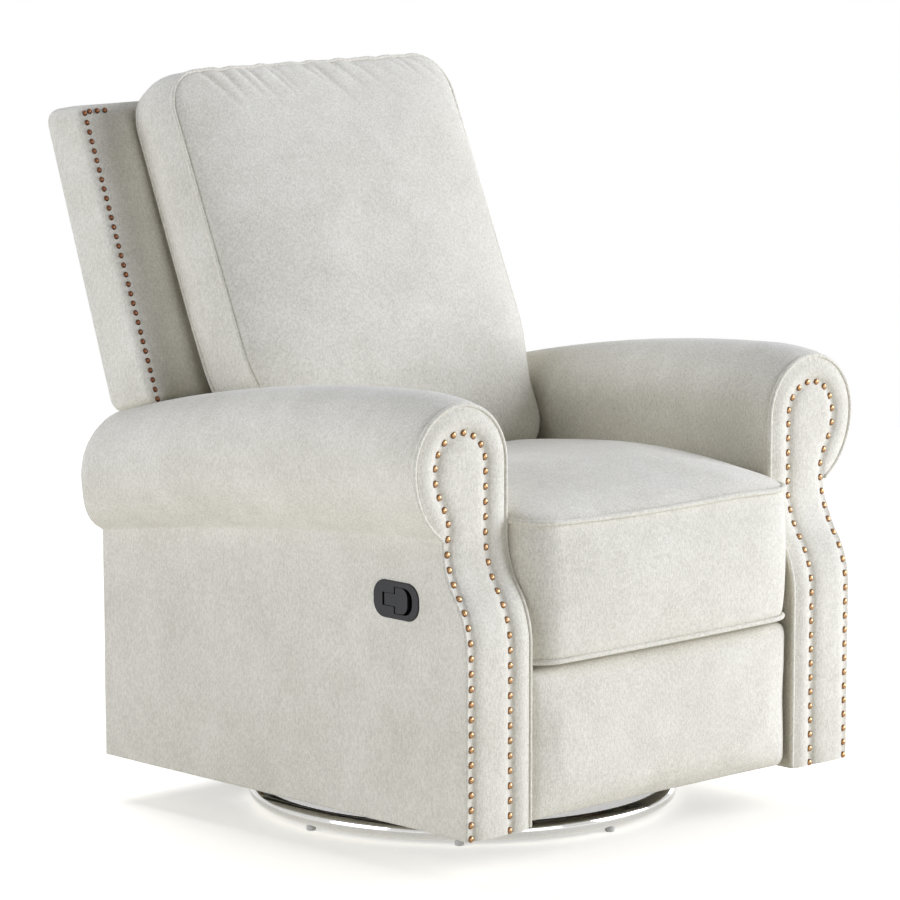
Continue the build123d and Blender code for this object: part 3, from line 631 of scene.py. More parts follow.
def tube_mesh(path: Array, radius: float, closed: bool = False) -> tuple[Array, list[Face]]:
    """Draws a round cord along a path.

    Args:
        path: points of its centre line.
        radius: the cord's radius.
        closed: whether the path is a ring.

    Returns:
        The vertices and the faces.
    """
    count, sides = len(path), CORD_SIDES
    ahead = np.roll(path, -1, axis=0) - np.roll(path, 1, axis=0)
    if not closed:
        ahead[0], ahead[-1] = path[1] - path[0], path[-1] - path[-2]
    ahead /= np.linalg.norm(ahead, axis=1)[:, None]
    across = np.zeros_like(ahead)
    seed = np.array([0.0, 0.0, 1.0]) if abs(ahead[0][2]) < 0.9 else np.array([1.0, 0.0, 0.0])
    across[0] = np.cross(ahead[0], seed)
    for i in range(count):
        base = across[i - 1] if i else across[0]
        across[i] = base - ahead[i] * (base @ ahead[i])
        across[i] /= np.linalg.norm(across[i])
    upward = np.cross(ahead, across)
    turns = np.linspace(0.0, 2 * math.pi, sides, endpoint=False)
    cosines, sines = np.cos(turns)[None, :, None], np.sin(turns)[None, :, None]
    rings = path[:, None, :] + radius * cosines * across[:, None, :] + radius * sines * upward[:, None, :]
    points = rings.reshape(-1, 3)
    faces = grid_faces(count, sides, closed=True)
    if closed:
        last = (count - 1) * sides
        turned = math.atan2(across[0] @ upward[-1], across[0] @ across[-1])
        twist = int(round(turned / (2 * math.pi / sides)))
        for c in range(sides):
            faces.append((last + (c + twist) % sides, last + (c + 1 + twist) % sides, (c + 1) % sides, c))
    else:
        faces += [tuple(range(sides))[::-1], tuple((count - 1) * sides + k for k in range(sides))]
    return points, faces


def cord_piece(name: str, path: Array, radius: float, material: Material, closed: bool = False) -> Piece:
    """A piping or welt cord as its own piece."""
    points, faces = tube_mesh(resample(path, CORD_STEP, closed), radius, closed)
    return piece(name, points, faces, material)


def nail_piece(name: str, places: Sequence[Spot], radius: float, material: Material) -> Piece:
    """Makes domed upholstery nails as one piece.

    Args:
        name: the piece's name.
        places: each nail's place on the cloth and the direction that it faces.
        radius: the head's radius.
        material: their material.

    Returns:
        The nails, with how near each point lies to its nail's rim as the number "rim", which the metal uses
        to paint shade at the rim.
    """
    dome = [(0.0, 0.62), (0.34, 0.585), (0.62, 0.47), (0.84, 0.29), (0.96, 0.10)]
    profile = dome + [(1.0, -0.08), (0.9, -0.2)]
    sides = 14
    points, faces = [], []
    for place, facing in places:
        turn = facing.to_track_quat("Z", "Y").to_matrix()
        start = len(points)
        points.append(place + turn @ Vector((0, 0, profile[0][1] * radius)))
        for out, up in profile[1:]:
            for k in range(sides):
                angle = 2 * math.pi * k / sides
                spot = Vector((out * math.cos(angle), out * math.sin(angle), up)) * radius
                points.append(place + turn @ spot)
        faces += [(start, start + 1 + k, start + 1 + (k + 1) % sides) for k in range(sides)]
        faces += grid_faces(len(profile) - 1, sides, start + 1, closed=True)
    made = piece(name, np.array([tuple(p) for p in points]), faces, material)
    # Painted shade: 0 at the dome's top rising to 1 at the rim, standing in for the dark reflections round
    # each nail.
    rim_shade_share = [0.0] + [out ** 2 for out, _ in profile[1:] for _ in range(sides)]
    rim = made.data.attributes.new("rim", "FLOAT", "POINT")
    rim.data.foreach_set("value", rim_shade_share * len(places))
    return made


def soften(target: Piece) -> None:
    """Subdivides a piece's mesh once, smoothly.

    Args:
        target: the piece.
    """
    made = target.modifiers.new("soft", "SUBSURF")
    made.levels = made.render_levels = 1
    evaluated = target.evaluated_get(bpy.context.evaluated_depsgraph_get())
    mesh = bpy.data.meshes.new_from_object(evaluated)
    target.modifiers.clear()
    target.data = mesh
    mesh.polygons.foreach_set("use_smooth", [True] * len(mesh.polygons))


def ripple(points: Array, scale: float, seed: int) -> Array:
    """Smooth pseudo-random values at points, from a few seeded sine waves.

    Args:
        points: the points, one row each.
        scale: about how long a wave is.
        seed: what the waves are drawn from.

    Returns:
        The values, from about -1 to 1.
    """
    maker = random.Random(seed)
    total = np.zeros(len(points))
    waves, gain = 7, 1.6
    for _ in range(waves):
        heading = np.array([maker.uniform(-1, 1) for _ in range(3)])
        heading *= maker.uniform(0.6, 1.4) / (np.linalg.norm(heading) * scale)
        total += np.sin(points @ heading * 2 * math.pi + maker.uniform(0, 2 * math.pi))
    return total / waves * gain


# ---------------------------------------------------------------------------- stuffing
@dataclass
class Stuffing:
    """Swells a cushion's cloth by air pressure while its seams stay where they are sewn."""

    cap: float
    ease: int
    pressure: float = 4.0
    frames: int = 20
    seam_width: float = 0.002
    seam_reach: float = 0.009
    batch: int = 64

    def swell(self, cover: Piece, seams: Array, held: Array) -> None:
        """Runs the cloth and keeps its result, with no point moved further than the cap.

        Args:
            cover: the closed cloth piece.
            seams: points along the sewn lines.
            held: a mask of other vertices that stay in place.
        """
        rest = coordinates(cover)
        near = np.full(len(rest), np.inf)
        for start in range(0, len(seams), self.batch):
            gap = np.linalg.norm(rest[:, None, :] - seams[None, start:start + self.batch, :], axis=2).min(1)
            near = np.minimum(near, gap)
        weight = np.clip(1.0 - (near - self.seam_width) / self.seam_reach, 0.0, 1.0)
        weight[held] = 1.0
        group = cover.vertex_groups.new(name="sewn")
        for index in np.nonzero(weight > 0.0)[0]:
            group.add([int(index)], float(weight[index]), "REPLACE")
        self.stuff(cover.modifiers.new("stuffing", "CLOTH"))
        scene = bpy.context.scene
        for index in range(1, self.frames + 1):
            scene.frame_set(index)
        evaluated = cover.evaluated_get(bpy.context.evaluated_depsgraph_get())
        swollen = np.array([v.co for v in evaluated.data.vertices], float)
        cover.modifiers.clear()
        cover.vertex_groups.clear()
        scene.frame_set(1)
        step = self.eased(swollen - rest, cover, weight)
        length = np.linalg.norm(step, axis=1)
        step *= np.minimum(1.0, self.cap / np.maximum(length, 1e-9))[:, None]
        move_vertices(cover, rest + step)

    def stuff(self, cloth: bpy.types.ClothModifier) -> None:
        """Sets how the cloth stretches and what pushes it.

        Args:
            cloth: the cover's cloth modifier.
        """
        settings = cloth.settings
        stretch = {"tension_stiffness": 18.0, "compression_stiffness": 18.0, "shear_stiffness": 8.0}
        weight = {"mass": 0.35, "air_damping": 2.0, "bending_stiffness": 1.2, "quality": 5}
        air = {"use_pressure": True, "uniform_pressure_force": self.pressure}
        for key, value in {**weight, **stretch, **air}.items():
            setattr(settings, key, value)
        settings.vertex_group_mass = "sewn"
        settings.effector_weights.gravity = 0.0
        cloth.collision_settings.use_collision = False

    def eased(self, step: Array, cover: Piece, weight: Array) -> Array:
        """Spreads the movement over neighbours, which irons out small creases but not the swell.

        Args:
            step: each vertex's movement.
            cover: the cloth piece.
            weight: how firmly each vertex is sewn down, from 0 to 1.

        Returns:
            The evened movement.
        """
        kept, spread = 0.4, 0.6
        ends = np.array([edge.vertices[:] for edge in cover.data.edges])
        count = np.bincount(ends.ravel(), minlength=len(step)).astype(float)[:, None]
        for _ in range(self.ease):
            total = np.zeros_like(step)
            for axis in range(3):
                total[:, axis] += np.bincount(ends[:, 0], step[ends[:, 1], axis], len(step))
                total[:, axis] += np.bincount(ends[:, 1], step[ends[:, 0], axis], len(step))
            step = (kept * step + spread * total / np.maximum(count, 1)) * (1 - weight[:, None] ** 2)
        return step


# ---------------------------------------------------------------------------- cushions
Surface = Callable[[Array, Array], Array]


def level(height: float) -> Surface:
    """A surface that is the same height all over."""
    return lambda across, along: np.full_like(along, height)


@dataclass
class SewnBox:
    """A boxed cushion in its own axes: u across, v along, w from its back (0) to its face (1).

    place turns arrays of (across, along, thick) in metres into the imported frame's axes, and the
    cushion spans across from -half to half, along from 0 to length. back and face give how thick
    it is at a spot, and side_scale how wide it is along its length.
    """

    half: float
    length: float
    corner: float
    crown: float
    draw_in: float
    place: Callable[[Array, Array, Array], Array]
    back: Surface
    face: Surface
    side_scale: Surface = lambda along, w: np.ones_like(along)
    cell: float = 0.006
    roundness: float = 5.0
    dome: float = 0.55
    edge: float = 0.0

    def plan(self, u: Array, v: Array) -> tuple[Array, Array]:
        """Maps a square grid into the cushion's outline with its round corners.

        Args:
            u: places across, from -1 to 1.
            v: places along, from -1 to 1.

        Returns:
            The places across and along in metres.
        """
        half_length = self.length / 2
        x, y = u * self.half, v * half_length
        inner_x, inner_y = self.half - self.corner, half_length - self.corner
        dx = np.sign(x) * np.maximum(np.abs(x) - inner_x, 0.0) / self.corner
        dy = np.sign(y) * np.maximum(np.abs(y) - inner_y, 0.0) / self.corner
        x = np.clip(x, -inner_x, inner_x) + self.corner * dx * np.sqrt(1 - dy * dy / 2)
        y = np.clip(y, -inner_y, inner_y) + self.corner * dy * np.sqrt(1 - dx * dx / 2)
        return x, y + half_length

    def points(self, u: Array, v: Array, w: Array, swollen: bool = False) -> Array:
        """Finds points of the surface.

        Args:
            u: places across, from -1 to 1.
            v: places along, from -1 to 1.
            w: places through it, from 0 at the back to 1 at the face.
            swollen: whether the crown swells them.

        Returns:
            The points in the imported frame's axes.
        """
        across, along = self.plan(u, v)
        draw = self.draw_in * np.sin(math.pi * np.clip(w, 0, 1)) + self.rounding(across, along, w)
        across = across * (1 - draw / self.half) * self.side_scale(along, w)
        along = self.length / 2 + (along - self.length / 2) * (1 - 2 * draw / self.length)
        low, high = self.back(across, along), self.face(across, along)
        thick = low + (high - low) * w
        if swollen:
            rise = (1 - np.abs(u) ** self.roundness) * (1 - np.abs(v) ** self.roundness)
            thick = thick + self.crown * np.maximum(rise, 0.0) ** self.dome
        return self.place(across, along, thick)

    def rounding(self, across: Array, along: Array, w: Array) -> Array:
        """How far the sides turn in towards the back and the face.

        Args:
            across: places across in metres.
            along: places along in metres.
            w: places through it, from 0 to 1.

        Returns:
            The distances in metres.
        """
        if self.edge <= 0.0:
            return np.zeros_like(w)
        depth = np.abs(self.face(across, along) - self.back(across, along))
        near = np.clip(np.minimum(w, 1 - w) * depth / self.edge, 0.0, 1.0)
        return self.edge * (1 - np.sqrt(1 - (1 - near) ** 2))

    def seam(self, w: float) -> Array:
        """Follows the sewn line round the cushion.

        Args:
            w: where it lies, from 0 at the back to 1 at the face.

        Returns:
            The line's points, as a ring.
        """
        around = np.linspace(0.0, 8.0, 321)[:-1]
        u = np.clip(np.abs((around + 2) % 8 - 4) - 2, -1, 1)
        v = np.clip(np.abs(around % 8 - 4) - 2, -1, 1)
        line = self.points(u, v, np.full_like(u, w))
        return resample(line, CORD_STEP, closed=True)

    def build(self, name: str, material: Material) -> Piece:
        """Makes the closed cover.

        Args:
            name: the piece's name.
            material: its cloth.

        Returns:
            The cover, of cells about as large as cell.
        """
        across = max(int(2 * self.half / self.cell), 8)
        along = max(int(self.length / self.cell), 8)
        middle = (np.zeros(1), np.array([self.length / 2]))
        depth = float((self.face(*middle) - self.back(*middle))[0])
        thick = max(int(abs(depth) / self.cell), 3)
        us, vs, ws = (np.linspace(-1, 1, n + 1) for n in (across, along, thick))
        ws = (ws + 1) / 2
        blocks, faces, start = [], [], 0

        def sheet(u: Array, v: Array, w: Array, swollen: bool) -> None:
            """Adds one of the six sides.

            Args:
                u: places across.
                v: places along.
                w: places through.
                swollen: whether the crown swells them.
            """
            nonlocal start
            blocks.append(self.points(u.ravel(), v.ravel(), w.ravel(), swollen))
            faces.extend(grid_faces(*u.shape, start))
            start += u.size

        u, v = np.meshgrid(us, vs)
        sheet(u, v, np.ones_like(u), True)
        sheet(u, v, np.zeros_like(u), False)
        for edge in (-1.0, 1.0):
            u, w = np.meshgrid(us, ws)
            sheet(u, np.full_like(u, edge), w, False)
            v, w = np.meshgrid(vs, ws)
            sheet(np.full_like(v, edge), v, w, False)
        return piece(name, np.vstack(blocks), faces, material)


# ---------------------------------------------------------------------------- arms
@dataclass(frozen=True)
class ArmShape:
    """The rolled arm's sizes on the +X side, in metres."""

    inner: float = 0.2535
    outer: float = 0.3630
    foot: float = 0.063
    roll_radius: float = 0.081
    roll_x: float = 0.3345
    roll_z: float = 0.541
    neck_x: float = 0.3645
    neck_z: float = 0.450
    low_front: float = -0.414
    high_front: float = -0.368
    bend_low: float = 0.305
    bend_high: float = 0.450
    panel: float = 0.012
    roll_rear: float = 0.311
    body_rear: float = 0.313
    crest_y: float = -0.300
    front_rise: float = 0.0045
    flare: float = 0.0036
    crest_rise: float = 0.0112
    roll_fall: float = 0.0923
    flare_run: float = 0.05
    roll_sag: Pair = (0.18, 0.82)
    neck_fall: Pair = (0.05, 0.08)

    def front(self, z: Array) -> Array:
        """The front panel's face: a lower plane, two arcs and an upper plane.

        Args:
            z: heights.

        Returns:
            The face's Y at each height.
        """
        reach = (self.bend_high - self.bend_low) / 2
        shift = (self.high_front - self.low_front) / 2
        radius = (shift * shift + reach * reach) / (2 * shift)
        rise = np.clip(z - self.bend_low, 0, reach)
        left = np.clip(self.bend_high - z, 0, reach)
        low = self.low_front + radius - np.sqrt(radius ** 2 - rise ** 2)
        high = self.high_front - radius + np.sqrt(radius ** 2 - left ** 2)
        return np.where(z < self.bend_low + reach, low, high)

    def drop(self, y: Array) -> Array:
        """How far the roll's axis lies below its height at the front.

        Args:
            y: places from front to rear.

        Returns:
            The drop at each place, below zero where the roll is higher.
        """
        share = np.clip((y - self.high_front) / (self.crest_y - self.high_front), 0, 1)
        run = np.clip((y - self.crest_y) / (self.roll_rear - self.crest_y), 0, 1.05)
        rise = self.front_rise + (self.crest_rise - self.front_rise) * share * (2 - share)
        return -rise + self.roll_fall * (self.roll_sag[0] * run + self.roll_sag[1] * run * run)

    def neck(self, y: Array) -> Array:
        """Height of the line where the roll tucks in to the side."""
        run = np.maximum(y - self.high_front, 0.0)
        return self.neck_z - self.neck_fall[0] * run - self.neck_fall[1] * run * run

    def tuck(self, high: Array | float, neck: Array | float, share: Array) -> tuple[Array, Array]:
        """The arc from the roll's widest point, where it is upright, down to the neck.

        Args:
            high: the height of the widest point.
            neck: the height of the neck.
            share: places along the arc, from 0 at the widest point to 1 at the neck.

        Returns:
            The places' X and Z.
        """
        widest = self.roll_x + self.roll_radius
        across, down = widest - self.neck_x, high - neck
        radius = (across ** 2 + down ** 2) / (2 * across)
        turn = share * np.arcsin(np.clip(down / radius, -1, 1))
        return widest - radius * (1 - np.cos(turn)), high - radius * np.sin(turn)

    def span(self, z: Array) -> tuple[Array, Array]:
        """The front panel's limits.

        Args:
            z: heights.

        Returns:
            The panel's inner and outer X at each height.
        """
        above = np.clip(z - self.roll_z, 0, self.roll_radius)
        bow = np.sqrt(np.maximum(self.roll_radius ** 2 - above ** 2, 0))
        left = np.where(z > self.roll_z, self.roll_x - bow, self.inner)
        right_roll = self.roll_x + bow
        across = self.roll_x + self.roll_radius - self.neck_x
        down = self.roll_z - self.neck_z
        radius = (across ** 2 + down ** 2) / (2 * across)
        below = np.clip(self.roll_z - z, 0, down)
        right_tuck = self.roll_x + self.roll_radius - radius + np.sqrt(radius ** 2 - below ** 2)
        share = np.clip((z - self.foot) / (self.neck_z - self.foot), 0, 1)
        right_side = self.outer + (self.neck_x - self.outer) * share
        right_side = right_side + self.flare * smoothstep(self.neck_z - z, 0.0, self.flare_run)
        right = np.where(z > self.roll_z, right_roll, np.where(z > self.neck_z, right_tuck, right_side))
        return left, right


@dataclass
class NailLine:
    """The line of nails on an arm's front: up inside, over the roll, and down outside."""

    inner_x: float = 0.2896
    arc_x: float = 0.3343
    arc_z: float = 0.5415
    arc_radius: float = 0.0448
    waist_x: float = 0.3556
    outer_x: float = 0.3592
    foot: float = 0.0662
    waist_low: float = 0.420
    waist_z: float = 0.465
    waist_high: float = 0.530
    pitch: float = 0.0198
    arc_pitch: float = 0.0183
    head: float = 0.0048

    def path(self) -> Array:
        """Draws the line.

        Returns:
            Its points (x, 0, z), close together.
        """
        up = np.linspace(self.foot, self.arc_z, 120)
        turn = np.linspace(math.pi, 0, 80)[1:]
        down = np.linspace(self.arc_z, self.foot, 160)[1:]
        arc_right = self.arc_x + self.arc_radius
        high_x = self.waist_x + (arc_right - self.waist_x) * smoothstep(down, self.waist_z, self.waist_high)
        low_x = self.outer_x + (self.waist_x - self.outer_x) * smoothstep(down, self.waist_low, self.waist_z)
        x = np.r_[
            np.full_like(up, self.inner_x), self.arc_x + self.arc_radius * np.cos(turn),
            np.where(down < self.waist_z, low_x, high_x),
        ]
        z = np.r_[up, self.arc_z + self.arc_radius * np.sin(turn), down]
        return np.column_stack([x, np.zeros_like(x), z])

    def spots(self, line: Array) -> Array:
        """Spaces the nails, a little closer over the roll and with one at the line's end.

        Args:
            line: the line's points.

        Returns:
            The nails' middles.
        """
        step = np.linalg.norm(np.diff(line, axis=0), axis=1)
        step *= np.where(line[1:, 2] > self.arc_z, self.pitch / self.arc_pitch, 1.0)
        run = np.r_[0.0, np.cumsum(step)]
        at = np.arange(0.0, run[-1], self.pitch)
        if run[-1] - at[-1] > 0.5 * self.pitch:
            at = np.append(at, run[-1])
        return np.column_stack([np.interp(at, run, line[:, axis]) for axis in range(3)])


@dataclass
class RolledArm:
    """One upholstered arm: its skin, padded front, welt and nails."""

    side: Side
    palette: Palette
    shape: ArmShape = field(default_factory=ArmShape)
    nails: NailLine = field(default_factory=NailLine)
    edge_round: float = 0.0045
    valley_depth: float = 0.0020
    puff: float = 0.0040
    welt: float = 0.0032
    rear_round: float = 0.026
    side_round: float = 0.005
    skin_behind: float = 0.0015
    lead_share: float = 0.02
    flare_share: float = 0.055
    tail_share: float = 0.93
    wall_inset: float = 0.0025
    proud: float = 0.0014
    roll_blend: float = 0.07
    core_inset: float = 0.01
    wave: float = 0.0011
    wave_length: float = 0.21
    wave_seed: int = 11
    valley_inner: float = 0.0028
    valley_outer: float = 0.0075
    puff_reach: float = 0.012
    below: float = 0.02
    wave_from: Pair = (-0.33, -0.25)
    ring_counts: tuple[int, ...] = (80, 52, 26, 96)
    row_counts: tuple[int, ...] = (10, 127, 14)
    pad_counts: tuple[int, ...] = (190, 40, 58)
    pad_top: float = 0.992
    welt_out: float = 0.0002
    welt_foot: float = 0.002
    hole_depth: float = 0.004
    hole_rim: float = 0.0012
    hole_corner: float = 0.021
    nail_lift: float = 0.0006

    def mirror(self, points: Array) -> Array:
        """Moves +X side points to this arm's side."""
        return points * np.array([self.side.value, 1.0, 1.0])

    def build(self) -> None:
        """Builds and dresses the arm."""
        for made in (self.skin(), self.front_pad(), self.welt_cord(), self.nail_heads()):
            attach(made, "carriage")
            LOG.info("piece %s", made.name)

    def skin(self) -> Piece:
        """Makes the cloth over the roll and both sides, closed at the rear and underneath.

        Returns:
            The skin.
        """
        s = self.shape
        quarter = math.pi / 2
        first, middle, last = self.row_counts
        lead = self.lead_share * (1 - np.cos(np.linspace(0, quarter, first)))
        tail = self.tail_share + (1 - self.tail_share) * np.sin(np.linspace(0, quarter, last)[1:])
        rows = np.r_[lead, np.linspace(self.lead_share, self.tail_share, middle)[1:], tail]
        rings = []
        for row in rows:
            flat, centre, neck = self.section(row)
            in_roll = smoothstep(flat[:, 1], neck, neck + self.roll_blend)
            end = s.body_rear + (s.roll_rear - s.body_rear) * in_roll
            start = s.front(flat[:, 1]) + self.skin_behind
            y = start + (end - start) * row
            reach = self.side_round + (self.rear_round - self.side_round) * in_roll
            near = np.clip((y - (end - reach)) / reach, 0, 1)
            inset = reach * (1 - np.sqrt(np.maximum(1 - near ** 2, 0)))
            ahead = 1 - min(row / self.lead_share, 1.0)
            inset += s.front_rise * in_roll * (1 - math.sqrt(1 - ahead ** 2))
            core_x = np.full(len(flat), s.roll_x - self.core_inset)
            toward = np.column_stack([core_x, np.clip(flat[:, 1], s.foot, centre)]) - flat
            toward /= np.maximum(np.linalg.norm(toward, axis=1), 1e-6)[:, None]
            flat = flat + toward * inset[:, None]
            rings.append(np.column_stack([flat[:, 0], y, flat[:, 1]]))
        count = len(rings[0])
        points = np.vstack(rings)
        waves = self.wave * ripple(points, self.wave_length, self.wave_seed)
        points[:, 0] += waves * smoothstep(points[:, 1], *self.wave_from)
        faces = grid_faces(len(rows), count, closed=True)
        faces.append(tuple(range((len(rows) - 1) * count, len(rows) * count)))
        if self.side is Side.RIGHT:
            faces = self.latch_hole(points, faces)
        made = piece(f"arm_skin_{self.side.label}", self.mirror(points), faces, self.palette.cloth)
        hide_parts(f"arm_{self.side.label}")
        return made

    def section(self, row: float) -> tuple[Array, float, float]:
        """Draws one section across the arm.

        Args:
            row: where it lies, from 0 at the front to 1 at the rear.

        Returns:
            Its points (x, z) up the inner side, over the roll and down the outer side, the height
            of the roll's axis and the height of the neck.
        """
        s = self.shape
        *counts, last = self.ring_counts
        shares = [np.linspace(0, 1, n + 1)[:-1] for n in counts] + [np.linspace(0, 1, last)]
        y = np.array(s.high_front + (s.roll_rear - s.high_front) * row)
        centre, neck = s.roll_z - s.drop(y), s.neck(y)
        inner = np.column_stack([np.full_like(shares[0], s.inner), s.foot + (centre - s.foot) * shares[0]])
        turn = math.pi * (1 - shares[1])
        over_x, over_z = s.roll_x + s.roll_radius * np.cos(turn), centre + s.roll_radius * np.sin(turn)
        over = np.column_stack([over_x, over_z])
        tuck = np.column_stack(s.tuck(centre, neck, shares[2]))
        side_z = neck + (s.foot - neck) * shares[3]
        side_x = s.neck_x + (s.outer - s.neck_x) * shares[3]
        flare = s.flare * smoothstep(s.neck_z - side_z, 0.0, s.flare_run)
        side_x += flare * math.exp(-(row / self.flare_share) ** 2)
        return np.vstack([inner, over, tuck, np.column_stack([side_x, side_z])]), float(centre), float(neck)

    def latch_hole(self, points: Array, faces: list) -> list:
        """Leaves out the cloth behind the latch's moulding, inside its rim.

        Args:
            points: the skin's points on the +X side.
            faces: its faces.

        Returns:
            The faces that stay.
        """
        low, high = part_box("latch_plate")
        inside = points[:, 0] > self.shape.outer - self.hole_depth
        off = []
        for axis in (1, 2):
            middle, half = 0.5 * (low[axis] + high[axis]), 0.5 * (high[axis] - low[axis])
            away = np.abs(points[:, axis] - middle)
            inside &= away < half - self.hole_rim
            off.append(np.maximum(away - (half - self.hole_corner), 0))
        inside &= np.hypot(*off) < self.hole_corner - self.hole_rim
        return [face for face in faces if not all(inside[list(face)])]

    def relief(self, x: Array, z: Array) -> Array:
        """Shapes the front panel's cloth: a rounded rim, a valley at the nails and puffs beside it.

        Args:
            x: places across.
            z: places up.

        Returns:
            How far the cloth lies behind the panel's plane at each place.
        """
        floor = self.shape.foot - self.below
        rows = np.linspace(floor, self.shape.roll_z + self.shape.roll_radius, 600)
        rim = np.vstack([np.column_stack([edge, rows]) for edge in self.shape.span(rows)])
        line = self.nails.path()[:, [0, 2]]
        line = np.vstack([[line[0][0], floor], line, [line[-1][0], floor]])
        spots = np.column_stack([x.ravel(), z.ravel()])
        to_rim, to_nail = (
            np.array([np.min(np.hypot(*(near - spot).T)) for spot in spots]).reshape(x.shape)
            for near in (rim, line)
        )
        turned = self.edge_round * (1 - np.sqrt(1 - (1 - np.clip(to_rim / self.edge_round, 0, 1)) ** 2))
        valley = self.valley_depth * (1 - smoothstep(to_nail, self.valley_inner, self.valley_outer))
        rises = [1 - np.exp(-(gap / self.puff_reach) ** 2) for gap in (to_nail, to_rim)]
        return turned + valley - self.puff * rises[0] * rises[1]

    def front_pad(self) -> Piece:
        """Makes the padded front panel, bent to the S.

        Returns:
            The pad, with walls that run back to the arm.
        """
        s = self.shape
        straight, round_top, columns = self.pad_counts
        low = np.linspace(s.foot, s.roll_z, straight)
        high = s.roll_z + s.roll_radius * np.sin(np.linspace(0, math.pi / 2, round_top)[1:] * self.pad_top)
        rows = np.r_[low, high]
        crowded, even = 0.35, 0.65
        spread = 0.5 - 0.5 * np.cos(np.linspace(0, math.pi, columns))
        spread = crowded * spread + even * np.linspace(0, 1, columns)
        left, right = s.span(rows)
        x = left[:, None] + (right - left)[:, None] * spread[None, :]
        z = np.repeat(rows[:, None], columns, axis=1)
        y = s.front(z) + self.relief(x, z) - self.proud
        face = np.column_stack([x.ravel(), y.ravel(), z.ravel()])
        faces = grid_faces(len(rows), columns)
        top = len(rows) - 1
        rim = [r * columns for r in range(len(rows))] + [top * columns + c for c in range(1, columns)]
        rim += [r * columns + columns - 1 for r in range(top - 1, -1, -1)]
        back = face[rim].copy()
        back[:, 1] = s.front(back[:, 2]) + s.panel + 0.001
        rim_left, rim_right = s.span(back[:, 2])
        back[:, 0] -= self.wall_inset * np.sign(back[:, 0] - 0.5 * (rim_left + rim_right))
        back[:, 2] -= self.wall_inset * smoothstep(back[:, 2], s.roll_z, s.roll_z + s.roll_radius)
        start = len(face)
        points = np.vstack([face, back])
        faces += [(rim[k], rim[k + 1], start + k + 1, start + k) for k in range(len(rim) - 1)]
        made = piece(f"arm_front_pad_{self.side.label}", self.mirror(points), faces, self.palette.cloth)
        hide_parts(f"arm_front_{self.side.label}")
        return made

    def welt_path(self) -> Array:
        """The welt's line, up to the roll, over it and down the inner edge of the S.

        Returns:
            Its points on this arm's side.
        """
        s, out = self.shape, self.welt_out
        share = np.linspace(1, 0, 40)
        tuck_x, tuck_z = s.tuck(s.roll_z, s.neck_z, share)
        turn = np.linspace(0, math.pi, 70)[1:]
        over_x = s.roll_x + (s.roll_radius + out) * np.cos(turn)
        over_z = s.roll_z + (s.roll_radius + out) * np.sin(turn)
        down = np.linspace(s.roll_z, s.foot + self.welt_foot, 150)[1:]
        flat = np.vstack([
            np.column_stack([tuck_x + out, tuck_z]), np.column_stack([over_x, over_z]),
            np.column_stack([np.full_like(down, s.inner - out), down]),
        ])
        return self.mirror(np.column_stack([flat[:, 0], s.front(flat[:, 1]), flat[:, 1]]))

    def welt_cord(self) -> Piece:
        """Makes the welt between the front panel and the roll.

        Returns:
            The welt.
        """
        name = f"arm_welt_cord_{self.side.label}"
        made = cord_piece(name, self.welt_path(), self.welt, self.palette.cord)
        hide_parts(f"arm_welt_{self.side.label}")
        return made

    def nail_heads(self) -> Piece:
        """Makes the domed nails along the front.

        Returns:
            The nails.
        """
        line = self.nails.path()
        line[:, 1] = self.shape.front(line[:, 2])
        spots = self.nails.spots(line)
        depth = self.relief(spots[:, 0], spots[:, 2]) - self.proud
        near = 0.002
        slope = (self.shape.front(spots[:, 2] + near) - self.shape.front(spots[:, 2] - near)) / (2 * near)
        places = []
        for spot, behind, tilt in zip(spots, depth, slope):
            facing = Vector((0, -1, float(tilt))).normalized()
            place = Vector(self.mirror(np.array([spot[0], spot[1] + behind, spot[2]])))
            places.append((place + facing * self.nail_lift, facing))
        made = nail_piece(f"arm_nails_{self.side.label}", places, self.nails.head, self.palette.copper)
        return made


